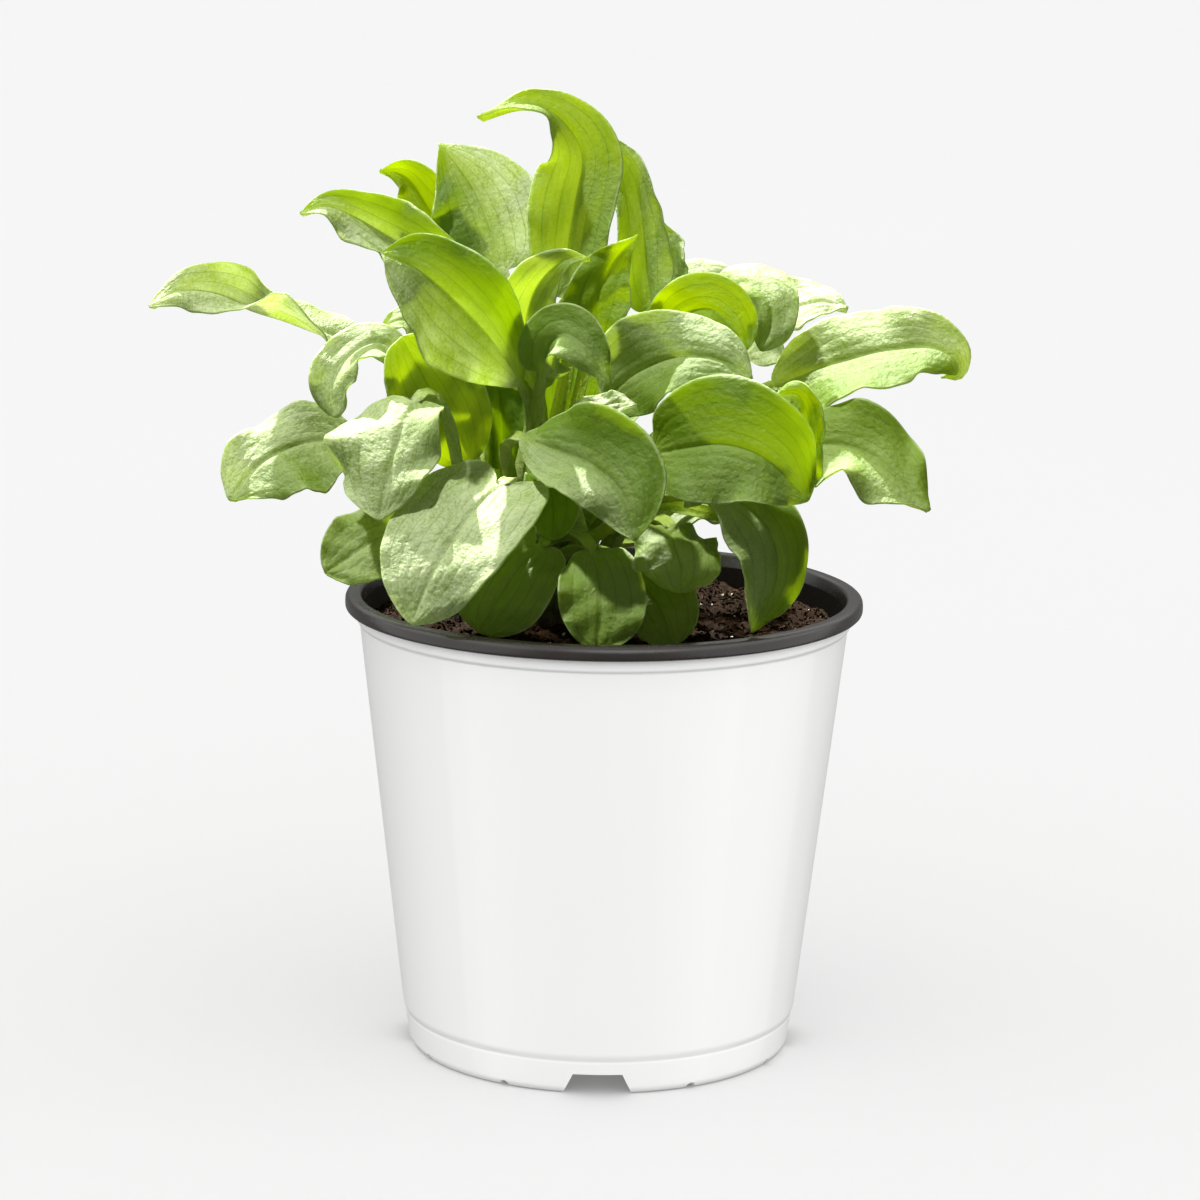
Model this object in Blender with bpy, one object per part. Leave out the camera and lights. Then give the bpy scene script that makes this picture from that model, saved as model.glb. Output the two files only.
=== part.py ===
"""A young hosta growing in a round nursery pot.

Lengths in the tables are millimetres, measured from the pot's own axis (x right, y back, z up
from the underside of the foot ring).  PLANT_SHIFT then sets the middle of the whole plant over
the origin.
"""
import math

import bmesh
import bpy
import numpy as np

MM = 0.001
PLANT_SHIFT = (16.3, 0.0)      # the leaves reach further to the left than to the right

# ---------------------------------------------------------------- the pot
RIM_RADIUS = 82.5
POT_HEIGHT = 147.0
LIP_WIDTH = 5.0
LIP_HEIGHT = 4.6
WALL = 1.7
BODY_TOP_RADIUS = 78.2
BODY_FOOT_RADIUS = 63.5
FOOT_RADIUS = 61.2
FOOT_HEIGHT = 10.0
FOOT_WALL = 2.4
FLOOR_UNDERSIDE = 8.0
FLOOR_TOP = 10.0
NOTCH_TOP_WIDTH = 15.4
NOTCH_FOOT_WIDTH = 21.5
NOTCH_HEIGHT = 6.5
NOTCH_BEARINGS = (0, 90, 180, 270)
ARCH_RADIUS = 1.7
ARCH_OFFSET = 28.6             # degrees either side of each notch
DRAIN_RADIUS = 4.5
DRAIN_CIRCLE = 44.0
DRAIN_COUNT = 8
CENTRE_HOLE = 6.0
DRAIN_SIDES = 16
POT_SEGMENTS = 64
FIT_GAP = 0.3                  # space left between two pieces that lie against each other

# ---------------------------------------------------------------- the potting mix and the crown
SOIL_TOP = 138.5
CROWN_CENTRE = (-22.0, 2.0)
CROWN_RINGS = {                # stalks stand on stepped rings: radius and height of each
    "outer": (23.0, 156.0),
    "middle": (15.8, 163.0),
    "inner": (8.6, 168.0),
    "heart": (0.0, 170.0),
}
RHIZOME_RADIUS = 27.5
RING_HALF_WIDTH = 3.3
RHIZOME_DEPTH = 34.0
ROOT_COUNT = 7
ROOT_RADIUS = 2.6
ROOT_LENGTH = 58.0

# ---------------------------------------------------------------- the leaves
BLADE_EDGE = 0.55              # thickness at the margin
BLADE_RIB = 0.95               # thickness along the midrib
STALK_HALF = 2.2               # half the width of a leaf stalk
STALK_DEPTH = 3.2
RIPPLE_DEPTH = 1.4             # how far a margin ripples where wave is 1

# name: ring and bearing of the stalk on the crown, the line of the midrib from the foot of the
# blade to its tip, where the upper face looks on the way from foot to tip, the width (or the half
# width left and right of the midrib), and how steeply the left and right halves rise at the midrib
# and at the margin, in degrees (or that pair for the foot and for the tip).  Further settings:
#   full     how broad the blade stays toward its tip     base    how slowly it widens at its foot
#   lobe     how far the foot's lobes reach back (mm)      wave    how strongly the margins ripple
#   ripples  how many ripples on the length                tone    0 old and dark to 1 young, lime
#   bloom    how much pale wax covers it
LEAVES = {
    "leaf_far_left": dict(
        ring="outer", bearing=154,
        rib=[(-80, 18, 223), (-91, 17, 227), (-101, 15, 231), (-112, 13, 235), (-124, 9, 240),
             (-135, 6, 241), (-145, 4, 236)],
        face=[(0.3, -0.9, 0.3), (0.1, -0.4, 0.9), (0, 0, 1), (-0.1, -0.7, 0.7), (-0.2, -0.8, 0.5),
              (-0.3, -0.7, 0.6)],
        width=25, left=(30, 40), right=(20, 30), full=1.3, wave=1.6, ripples=1.3, bloom=0.9),
    "leaf_upper_left": dict(
        ring="inner", bearing=134,
        rib=[(-47, 18, 241), (-59, 21, 251), (-70, 23, 257), (-80, 21, 263), (-90, 18, 267), (-98, 15, 265)],
        face=[(0, -0.8, 0.6), (0, -0.8, 0.6), (-0.1, -0.8, 0.5)],
        width=26, left=(30, 20), right=(45, 55), full=1.1, wave=1.3, bloom=0.5),
    "leaf_back_curl": dict(
        ring="middle", bearing=136,
        rib=[(-47, 34, 243), (-53, 38, 255), (-60, 40, 267), (-66, 39, 275), (-74, 36, 277)],
        face=[(0.3, -0.9, 0.2), (0.3, -0.9, 0.2), (0, -0.9, 0.5)],
        width=25, left=(25, 20), right=(30, 45), full=1.1, wave=1.4, bloom=0.0),
    "leaf_back_pointed": dict(
        ring="middle", bearing=108,
        rib=[(-34, 28, 246), (-38, 32, 258), (-45, 35, 273), (-55, 36, 286)],
        face=[(-0.1, -0.9, 0.4), (-0.1, -0.9, 0.4), (0, -0.9, 0.3)],
        width=(19, 21), left=(20, 15), right=(25, 20), full=1.05, wave=1.5, ripples=2.4, bloom=1.0),
    "leaf_big_left": dict(
        ring="inner", bearing=214,
        rib=[(-27, -14, 216), (-36, -23, 231), (-47, -31, 244), (-58, -37, 254), (-69, -40, 259)],
        face=[(0.1, -0.9, 0.4), (-0.1, -0.8, 0.6), (-0.2, -0.7, 0.7)],
        width=(22, 16), left=(10, 0), right=((35, 30), (25, 5)), full=1.6, base=1.0,
        wave=1.2, tone=0.4, bloom=0.35),
    "leaf_centre_cup": dict(
        ring="heart", bearing=0,
        rib=[(-22, 0, 212), (-26, -4, 230), (-23, -12, 245), (-15, -20, 255), (-6, -25, 257)],
        face=[(0, -1, 0.2), (0, -1, 0.2), (0.3, -0.9, 0.5)],
        width=24, left=(35, 40), right=(35, 60), full=1.0, wave=0.8, tone=0.75),
    "leaf_tallest": dict(
        ring="inner", bearing=80,
        rib=[(-12, 8, 240), (-13, 12, 254), (-11, 16, 269), (-9, 18, 285), (-17, 16, 297),
             (-27, 12, 301), (-42, 8, 297)],
        face=[(0, -1, 0.1), (0, -1, 0.1), (0, -1, 0.2), (-0.2, -0.6, 0.8), (-0.2, -0.4, 0.9)],
        width=29, left=(15, 25), right=(20, 30), full=0.85, wave=1.2, ripples=1.4, tone=0.8, bloom=0.35),
    "leaf_behind_tallest": dict(
        ring="middle", bearing=48,
        rib=[(14, 30, 233), (12, 35, 250), (10, 38, 266), (6, 39, 279), (-4, 36, 292)],
        face=[(-0.4, -0.9, 0.2), (-0.4, -0.9, 0.3), (-0.1, -0.8, 0.6)],
        width=(11, 9), left=(50, 60), right=(15, 20), full=1.0, wave=1.4, bloom=0.4),
    "leaf_back_small": dict(
        ring="outer", bearing=56,
        rib=[(18, 46, 235), (20, 50, 247), (17, 52, 261)],
        face=[(-0.3, -0.9, 0.3), (-0.3, -0.9, 0.3), (-0.3, -0.9, 0.3)],
        width=17, left=(25, 30), right=(25, 30), full=0.9),
    "leaf_centre_lime": dict(
        ring="inner", bearing=30,
        rib=[(-6, 2, 226), (-4, 3, 238), (0, 5, 250), (9, 6, 261)],
        face=[(0, -1, 0.1), (0, -1, 0.1), (0.1, -1, 0.2)],
        width=22, left=(15, 10), right=(20, 30), full=0.9, wave=0.7, tone=0.95, bloom=0.0),
    "leaf_round_lime": dict(
        ring="inner", bearing=346,
        rib=[(18, -4, 227), (23, -8, 237), (31, -12, 240), (38, -16, 236), (43, -19, 228)],
        face=[(0.1, -0.9, 0.1), (0.1, -0.9, 0.3), (0.2, -0.8, 0.5)],
        width=23, left=(15, 15), right=(25, 40), full=1.8, wave=1.1, tone=1.0, bloom=0.0),
    "leaf_right_nod": dict(
        ring="middle", bearing=16,
        rib=[(33, 9, 238), (41, 4, 246), (49, -3, 244), (51, -8, 236), (48, -12, 227)],
        face=[(-0.1, -0.5, 0.9), (0.1, -0.6, 0.8), (0.3, -0.9, 0.2)],
        width=20, left=(10, 20), right=(10, 20), full=1.7, wave=1.3, bloom=0.35),
    "leaf_right_long": dict(
        ring="outer", bearing=40,
        rib=[(44, 36, 219), (51, 36, 228), (59, 34, 234), (68, 30, 237), (77, 26, 236)],
        face=[(0.1, -0.8, 0.6), (0.1, -0.7, 0.7), (0.1, -0.6, 0.8)],
        width=29, left=(10, 5), right=(15, 25), full=1.05, wave=1.7, ripples=2.2, bloom=0.9),
    "leaf_back_right": dict(
        ring="outer", bearing=76,
        rib=[(22, 52, 220), (25, 57, 231), (32, 58, 239), (43, 54, 243)],
        face=[(-0.1, -0.8, 0.5), (0, -0.8, 0.6), (0.1, -0.7, 0.7)],
        width=28, left=(15, 10), right=(15, 10), full=1.0, wave=1.5, ripples=2.1, bloom=0.8),
    "leaf_far_right": dict(
        ring="outer", bearing=8,
        rib=[(52, 0, 214), (63, -3, 219), (75, -8, 224), (87, -13, 228), (99, -17, 230), (107, -20, 227),
             (109, -19, 222), (104, -16, 220)],
        face=[(0, -0.8, 0.6), (0, -0.7, 0.7), (0.1, -0.6, 0.8), (0.3, -0.7, 0.6), (0.6, -0.8, -0.1)],
        width=(17, 21), left=(25, 10), right=(15, 5), full=0.9, base=0.9, wave=1.8, ripples=1.9,
        tone=0.65, bloom=0.4),
    "leaf_right_low": dict(
        ring="outer", bearing=352,
        rib=[(60, -27, 198), (70, -31, 201), (81, -37, 199), (90, -43, 192), (99, -49, 184)],
        face=[(0, -0.9, 0.5), (0.1, -0.8, 0.6), (0.4, -0.8, 0.5)],
        width=(15, 19), left=(15, 5), right=(15, 30), full=1.2, wave=1.9, ripples=2.3, bloom=0.35),
    "leaf_mid_right": dict(
        ring="inner", bearing=306,
        rib=[(-1, -22, 213), (10, -29, 223), (22, -34, 228), (34, -40, 228), (44, -45, 223)],
        face=[(0, -0.9, 0.5), (0, -0.8, 0.6), (0.1, -0.7, 0.7)],
        width=(16, 15), left=(30, 10), right=(10, 0), full=1.3, wave=1.6, bloom=0.4),
    "leaf_big_right": dict(
        ring="middle", bearing=332,
        rib=[(15, -43, 199), (25, -52, 203), (37, -59, 205), (49, -64, 201), (61, -64, 189)],
        face=[(0, -0.9, 0.4), (0, -0.9, 0.4), (0.2, -0.9, 0.3)],
        width=(21, 19), left=(20, 20), right=(10, -10), full=1.5, wave=1.8, tone=0.5, bloom=0.2),
    "leaf_lime_curl": dict(
        ring="middle", bearing=354,
        rib=[(57, -42, 188), (61, -45, 202), (61, -46, 213), (57, -45, 219), (50, -42, 216)],
        face=[(-0.3, -0.9, 0.3), (-0.3, -0.9, 0.3), (-0.2, -0.7, 0.7), (-0.7, -0.6, -0.2)],
        width=14, left=(35, 45), right=(25, 30), full=1.2, tone=0.95, bloom=0.0),
    "leaf_front_centre": dict(
        ring="middle", bearing=252,
        rib=[(-26, -34, 202), (-15, -44, 200), (-4, -54, 197), (5, -63, 190), (9, -69, 177)],
        face=[(-0.3, -0.6, 0.8), (-0.1, -0.7, 0.7), (0.1, -0.9, 0.4)],
        width=(19, 15), left=(40, 40), right=(15, 0), full=1.25, base=1.0, wave=1.3, bloom=0.45),
    "leaf_right_droop": dict(
        ring="outer", bearing=331,
        rib=[(26, -38, 186), (39, -48, 187), (50, -57, 178), (52, -62, 164), (45, -62, 148)],
        face=[(0.1, -0.5, 0.9), (0.2, -0.8, 0.6), (0.4, -0.9, 0)],
        width=(11, 16), left=(10, 5), right=(25, 15), full=1.4, wave=1.3, tone=0.3, bloom=0.35),
    "leaf_small_curl": dict(
        ring="outer", bearing=302,
        rib=[(20, -50, 177), (21, -59, 174), (23, -64, 168), (23, -63, 160)],
        face=[(0.1, -0.7, 0.7), (0.1, -0.9, 0.4), (0, -0.9, -0.4)],
        width=28, left=(10, -30), right=(10, -30), full=1.9, lobe=6, wave=0.8, bloom=0.3),
    "leaf_front_heart": dict(
        ring="outer", bearing=231,
        rib=[(-32, -45, 189), (-41, -57, 182), (-51, -67, 168), (-58, -73, 151)],
        face=[(-0.2, -0.7, 0.7), (-0.2, -0.8, 0.6), (-0.2, -0.9, 0.3)],
        width=(21, 22), left=(15, 5), right=(0, -5), full=1.5, lobe=13, wave=1.2, tone=0.4, bloom=0.9),
    "leaf_left_front": dict(
        ring="outer", bearing=214,
        rib=[(-59, -30, 212), (-63, -38, 205), (-66, -46, 194), (-69, -53, 179)],
        face=[(-0.2, -0.7, 0.7), (-0.2, -0.8, 0.6), (-0.2, -0.9, 0.3)],
        width=(14, 22), left=(10, 5), right=(10, -35), full=1.4, lobe=6, wave=2.0, bloom=0.6),
    "leaf_left_low": dict(
        ring="outer", bearing=174,
        rib=[(-79, -10, 195), (-90, -13, 197), (-102, -18, 194), (-111, -23, 188), (-117, -27, 180)],
        face=[(0, -0.7, 0.7), (-0.2, -0.8, 0.6), (-0.4, -0.8, 0.4)],
        width=(19, 14), left=(5, 0), right=(15, 0), full=1.6, wave=1.8, ripples=2.1, bloom=0.6),
    "leaf_left_arch": dict(
        ring="middle", bearing=192,
        rib=[(-62, -2, 222), (-73, -5, 227), (-82, -9, 222), (-86, -14, 214), (-84, -18, 205)],
        face=[(0, -0.5, 0.9), (-0.3, -0.6, 0.8), (-0.6, -0.7, 0.2), (-0.3, -0.9, -0.2)],
        width=(13, 9), left=(15, 30), right=(15, 30), full=1.8, wave=0.8, bloom=0.6),
    "leaf_left_upright": dict(
        ring="middle", bearing=212,
        rib=[(-43, -7, 190), (-50, -11, 205), (-58, -15, 219), (-64, -20, 231)],
        face=[(0.1, -1, 0.2), (0.1, -1, 0.2), (0, -0.9, 0.4)],
        width=31, left=(20, 15), right=(15, 10), full=2.1, wave=1.0, tone=0.8, bloom=0.1),
    "leaf_left_inner": dict(
        ring="middle", bearing=168,
        rib=[(-50, 10, 222), (-58, 11, 229), (-65, 10, 232), (-72, 7, 230)],
        face=[(0, -0.7, 0.7), (0, -0.7, 0.7), (0, -0.7, 0.7)],
        width=19, left=(20, 20), right=(20, 20), full=1.0, wave=1.3),
    "leaf_low_left": dict(
        ring="outer", bearing=193,
        rib=[(-63, -30, 173), (-71, -36, 170), (-78, -41, 166), (-86, -45, 161)],
        face=[(-0.2, -0.9, 0.4), (-0.3, -0.9, 0.3), (-0.4, -0.9, 0.1)],
        width=25, left=(10, 5), right=(10, 5), full=1.8, lobe=5, bloom=0.4),
    "leaf_front_low_left": dict(
        ring="outer", bearing=249,
        rib=[(-20, -50, 171), (-26, -57, 166), (-33, -63, 156), (-38, -64, 147)],
        face=[(0, -0.8, 0.6), (0, -0.9, 0.4), (0, -1, 0.1)],
        width=(14, 18), left=(5, 0), right=(5, 0), full=2.1, lobe=8, wave=1.2, tone=0.1, bloom=0.05),
    "leaf_front_low_mid": dict(
        ring="outer", bearing=267,
        rib=[(-4, -51, 170), (-2, -59, 164), (-1, -65, 155), (-2, -68, 143)],
        face=[(0, -0.8, 0.6), (0, -0.9, 0.4), (0, -1, 0.1)],
        width=(14, 13), left=(5, 0), right=(5, 0), full=2.1, lobe=4, tone=0.15, bloom=0.1),
    "leaf_front_low_right": dict(
        ring="outer", bearing=285,
        rib=[(8, -44, 163), (13, -52, 159), (18, -58, 152), (21, -62, 143)],
        face=[(0.1, -0.8, 0.6), (0.1, -0.9, 0.4), (0.1, -1, 0.1)],
        width=25, left=(5, 0), right=(5, 0), full=1.9, lobe=5, bloom=0.05, tone=0.15),
    "leaf_front_inner": dict(
        ring="middle", bearing=279,
        rib=[(-18, -29, 190), (-17, -37, 187), (-16, -44, 181), (-16, -48, 173)],
        face=[(0, -0.8, 0.6), (0, -0.9, 0.4), (0, -1, 0.1)],
        width=18, left=(10, 5), right=(10, 5), full=1.9, lobe=5, tone=0.1, bloom=0.0),
    "leaf_centre_nod": dict(
        ring="inner", bearing=268,
        rib=[(-20, -21, 220), (-18, -27, 230), (-13, -33, 234), (-6, -38, 230), (1, -41, 220)],
        face=[(-0.1, -0.8, 0.5), (0, -0.8, 0.6), (0.2, -0.8, 0.5)],
        width=21, left=(20, 30), right=(20, -10), full=1.1, wave=0.8, bloom=0.1, tone=0.3),
    "leaf_centre_pale": dict(
        ring="outer", bearing=316,
        rib=[(-9, -32, 204), (-4, -36, 210), (2, -39, 214), (9, -41, 214)],
        face=[(0, -0.7, 0.7), (0, -0.7, 0.7), (0, -0.6, 0.8)],
        width=13, left=(10, 10), right=(10, 10), full=1.1, bloom=1.0),
    "leaf_inner_left": dict(
        ring="inner", bearing=175,
        rib=[(-32, 4, 186), (-33, 5, 200), (-35, 5, 213), (-38, 3, 225)],
        face=[(0.1, -1, 0.1), (0, -1, 0.1), (0, -1, 0.3)],
        width=17, left=(25, 20), right=(25, 20), full=1.2, wave=0.8, bloom=0.0),
    "leaf_inner_back": dict(
        ring="middle", bearing=76,
        rib=[(-15, 22, 196), (-12, 26, 214), (-9, 28, 230), (-7, 28, 246)],
        face=[(0, -1, 0.1), (0, -1, 0.1), (0, -1, 0.3)],
        width=30, left=(20, 15), right=(20, 15), full=1.1, bloom=0.0),
    "leaf_back_spread": dict(
        ring="outer", bearing=118,
        rib=[(-40, 48, 214), (-45, 56, 226), (-51, 63, 234), (-60, 69, 236)],
        face=[(0, 0.3, 1), (-0.2, 0.5, 0.9), (-0.4, 0.7, 0.6)],
        width=31, left=(15, 10), right=(15, 10), full=1.2, wave=1.6),
    "leaf_back_low_left": dict(
        ring="outer", bearing=136,
        rib=[(-52, 30, 184), (-62, 40, 190), (-74, 50, 188), (-84, 58, 178)],
        face=[(-0.1, -0.3, 1), (-0.3, 0.4, 0.9), (-0.6, 0.5, 0.6)],
        width=30, left=(10, 5), right=(10, 5), full=1.3, wave=1.6),
    "leaf_back_low_right": dict(
        ring="outer", bearing=24,
        rib=[(14, 20, 162), (26, 28, 171), (40, 36, 172), (52, 43, 163)],
        face=[(0, -0.6, 0.8), (0, -0.4, 0.9), (0.3, -0.2, 0.9)],
        width=27, left=(10, 5), right=(10, 5), full=1.3, wave=1.5, tone=0.5),
    "leaf_back_fall": dict(
        ring="outer", bearing=97,
        rib=[(-16, 44, 196), (-12, 56, 202), (-6, 66, 198), (0, 72, 186)],
        face=[(0, 0.3, 1), (0, 0.6, 0.8), (0.2, 0.9, 0.3)],
        width=33, left=(10, 5), right=(10, 5), full=1.25, lobe=5, wave=1.5),
}


def curve_points(points, count):
    """Points evenly spaced along a smooth curve through the given points."""
    knots = np.array(points, float)
    padded = np.vstack([2 * knots[0] - knots[1], knots, 2 * knots[-1] - knots[-2]])
    dense = []
    for i in range(1, len(padded) - 2):
        p0, p1, p2, p3 = padded[i - 1:i + 3]
        for t in np.linspace(0, 1, 24, endpoint=False):
            dense.append(0.5 * (2 * p1 + (p2 - p0) * t + (2 * p0 - 5 * p1 + 4 * p2 - p3) * t ** 2
                                + (3 * p1 - p0 - 3 * p2 + p3) * t ** 3))
    dense.append(padded[-2])
    return resample(np.array(dense), count)


def resample(path, count, bias=1.0):
    """The same path with points at even spacing, or crowded toward its start when bias > 1."""
    run = np.concatenate([[0], np.cumsum(np.linalg.norm(np.diff(path, axis=0), axis=1))])
    wanted = run[-1] * np.linspace(0, 1, count) ** bias
    return np.stack([np.interp(wanted, run, path[:, k]) for k in range(3)], 1)


def unit(v):
    """Rows scaled to length one."""
    return v / np.maximum(np.linalg.norm(v, axis=-1, keepdims=True), 1e-9)


def stalk_path(root, foot, foot_direction, count):
    """A stalk that leaves the crown steeply and meets the blade in the blade's own direction."""
    root, foot = np.array(root, float), np.array(foot, float)
    reach = np.linalg.norm(foot - root)
    out = foot - root
    out[2] = 0
    first = root + np.array([0, 0, 0.42 * reach]) + 0.12 * out
    second = foot - 0.34 * reach * foot_direction
    t = np.linspace(0, 1, 60)[:, None]
    path = ((1 - t) ** 3 * root + 3 * (1 - t) ** 2 * t * first + 3 * (1 - t) * t ** 2 * second
            + t ** 3 * foot)
    return resample(path, count)


def blade_outline(u, full, base):
    """Half width along the blade as a share of its widest, with a drawn-out tip."""
    point = 1.12 / full
    peak = base / (base + point)
    return (u / peak) ** base * ((1 - u) / (1 - peak)) ** point


def root_point(ring, bearing):
    """Where a stalk stands on the crown."""
    radius, height = CROWN_RINGS[ring]
    turn = math.radians(bearing)
    return (CROWN_CENTRE[0] + radius * math.cos(turn), CROWN_CENTRE[1] + radius * math.sin(turn),
            height)


def rising_arc(t, left, right):
    """Points t (-1..1) on two arcs that rise from the midrib: across, up, and how far each leans."""
    start = np.radians(np.where(t < 0, left[0], right[0]))
    bend = np.radians(np.where(t < 0, left[1] - left[0], right[1] - right[0])) + 1e-6
    reach = np.abs(t)
    out = (np.sin(start + bend * reach) - np.sin(start)) / bend
    lift = (np.cos(start) - np.cos(start + bend * reach)) / bend
    lean = (start + bend * reach) * np.sign(t)
    return np.copysign(out, t), lift, lean


def between(pair, share):
    """A value at a share of the way along the blade: one setting, or one for foot and one for tip."""
    ends = np.array(pair, float)
    if ends.ndim == 1:
        return ends
    return ends[0] * (1 - share) + ends[1] * share


def half_widths(leaf):
    """How far the left and the right margin stand from the midrib at the widest place."""
    width = leaf["width"]
    return width if isinstance(width, tuple) else (0.5 * width, 0.5 * width)


def leaf_sections(leaf, stalk_steps, blade_steps, across):
    """Points of the upper and of the lower face of one leaf, from the crown to the tip."""
    rib = curve_points(leaf["rib"], 80)
    root = np.array(root_point(leaf["ring"], leaf["bearing"]))
    stalk = stalk_path(root, rib[0], unit(rib[4] - rib[0]), stalk_steps + 1)
    blade = resample(rib, blade_steps + 1, 1.15)
    line = np.vstack([stalk[:-1], blade])
    tangent = unit(np.gradient(line, axis=0))
    along = np.linspace(0, 1, blade_steps + 1) ** 1.15
    share = np.concatenate([np.full(stalk_steps, -1.0), along])
    faces = unit(np.array(leaf["face"], float))
    inward = np.array([CROWN_CENTRE[0] - root[0], CROWN_CENTRE[1] - root[1], 0.0])
    if np.linalg.norm(inward) < 1:
        inward = faces[0] * [1, 1, 0]
    turn = np.linspace(0, 1, stalk_steps, endpoint=False)[:, None]
    stalk_face = unit(inward) * (1 - turn) + faces[0] * turn
    stops = np.linspace(0, 1, len(faces))
    blade_face = np.stack([np.interp(along, stops, faces[:, k]) for k in range(3)], 1)
    face = np.vstack([stalk_face, blade_face])
    normal = unit(face - tangent * np.sum(face * tangent, 1)[:, None])
    side = np.cross(tangent, normal)
    t = np.linspace(-1, 1, across + 1)
    left_half, right_half = half_widths(leaf)
    top, bottom = [], []
    for i in range(len(line)):
        if share[i] < 0:
            spread, back = 0.0, 0.0
            half = STALK_HALF * (1.15 - 0.3 * i / stalk_steps)
            sides = np.array([half, half])
        else:
            spread = blade_outline(share[i], leaf.get("full", 1.0), leaf.get("base", 0.62))
            sides = np.maximum(np.array([left_half, right_half]) * spread,
                               max(STALK_HALF * 0.85 * (1 - 3 * share[i]), 0.4))
            back = leaf.get("lobe", 2.5) * (share[i] / 0.12) * math.exp(1 - share[i] / 0.12)
        half = np.where(t < 0, sides[0], sides[1])
        spread = min(1.0, spread)
        out, lift, lean = rising_arc(t, spread * between(leaf["left"], max(share[i], 0)),
                                     spread * between(leaf["right"], max(share[i], 0)))
        if spread < 0.3:
            lift = lift + (1 - spread / 0.3) * 0.45 * t ** 2
        offset = np.zeros_like(t)
        if share[i] > 0:
            start = math.radians(7 * leaf["bearing"]) + 2.0 * np.sign(t)
            ripple = np.sin(leaf.get("ripples", 1.8) * math.tau * share[i] + start)
            offset = RIPPLE_DEPTH * leaf.get("wave", 1.0) * ripple * t ** 2 * spread
        core = BLADE_RIB * spread + STALK_DEPTH * (1 - spread)
        thick = BLADE_EDGE + (core - BLADE_EDGE) * (1 - np.abs(t)) ** (0.8 + 2 * spread)
        if i == len(line) - 1:
            thick = np.full_like(t, BLADE_EDGE)
        up = np.outer(np.cos(lean), normal[i]) - np.outer(np.sin(lean), side[i])
        point = (line[i] + np.outer(out * half, side[i]) + np.outer(lift * half, normal[i])
                 + up * offset[:, None]
                 - np.outer(back * np.abs(t) ** 1.6, tangent[i]))
        over = point + 0.25 * thick[:, None] * up
        under = point - 0.75 * thick[:, None] * up
        if i == 0:                                   # the foot is cut level
            over[:, 2] = root[2]
            under[:, 2] = root[2]
        top.append(over)
        bottom.append(under)
    return np.array(top), np.array(bottom)


def leaf_mesh(leaf, stalk_steps, blade_steps, across):
    """Vertices (mm) and faces of one closed leaf."""
    top, bottom = leaf_sections(leaf, stalk_steps, blade_steps, across)
    rings, n = len(top), across + 1
    verts = np.vstack([top.reshape(-1, 3), bottom.reshape(-1, 3)])
    faces = []

    def up(i, j):
        return i * n + j

    def down(i, j):
        return rings * n + i * n + j

    for i in range(rings - 1):
        for j in range(across):
            faces.append((up(i, j), up(i, j + 1), up(i + 1, j + 1), up(i + 1, j)))
            faces.append((down(i, j), down(i + 1, j), down(i + 1, j + 1), down(i, j + 1)))
        faces.append((up(i, 0), up(i + 1, 0), down(i + 1, 0), down(i, 0)))
        faces.append((up(i, across), down(i, across), down(i + 1, across), up(i + 1, across)))
    for i in (0, rings - 1):
        for j in range(across):
            quad = (up(i, j), down(i, j), down(i, j + 1), up(i, j + 1))
            faces.append(quad if i == 0 else quad[::-1])
    return verts, faces


# ---- shared solids
def circle(radius, count, centre=(0.0, 0.0)):
    """Points round a circle."""
    return [(centre[0] + radius * math.cos(2 * math.pi * i / count),
             centre[1] + radius * math.sin(2 * math.pi * i / count)) for i in range(count)]


def gather(pieces):
    """Several point-and-face sets joined into one."""
    verts, faces = [], []
    for piece_verts, piece_faces in pieces:
        base = len(verts)
        verts += list(piece_verts)
        faces += [tuple(base + i for i in f) for f in piece_faces]
    return verts, faces


def prism(outline, inner, outer, turn):
    """A radial prism: an outline of (sideways, height) points carried from one radius to another."""
    cos, sin = math.cos(turn), math.sin(turn)
    verts = []
    for radius in (inner, outer):
        for sideways, height in outline:
            verts.append((radius * cos - sideways * sin, radius * sin + sideways * cos, height))
    n = len(outline)
    faces = [tuple(range(n))[::-1], tuple(range(n, 2 * n))]
    faces += [(i, (i + 1) % n, n + (i + 1) % n, n + i) for i in range(n)]
    return verts, faces


def make_outward(obj):
    """Turn every face of a mesh to look out of its solid."""
    bm = bmesh.new()
    bm.from_mesh(obj.data)
    bmesh.ops.recalc_face_normals(bm, faces=bm.faces)
    bm.to_mesh(obj.data)
    bm.free()


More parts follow.
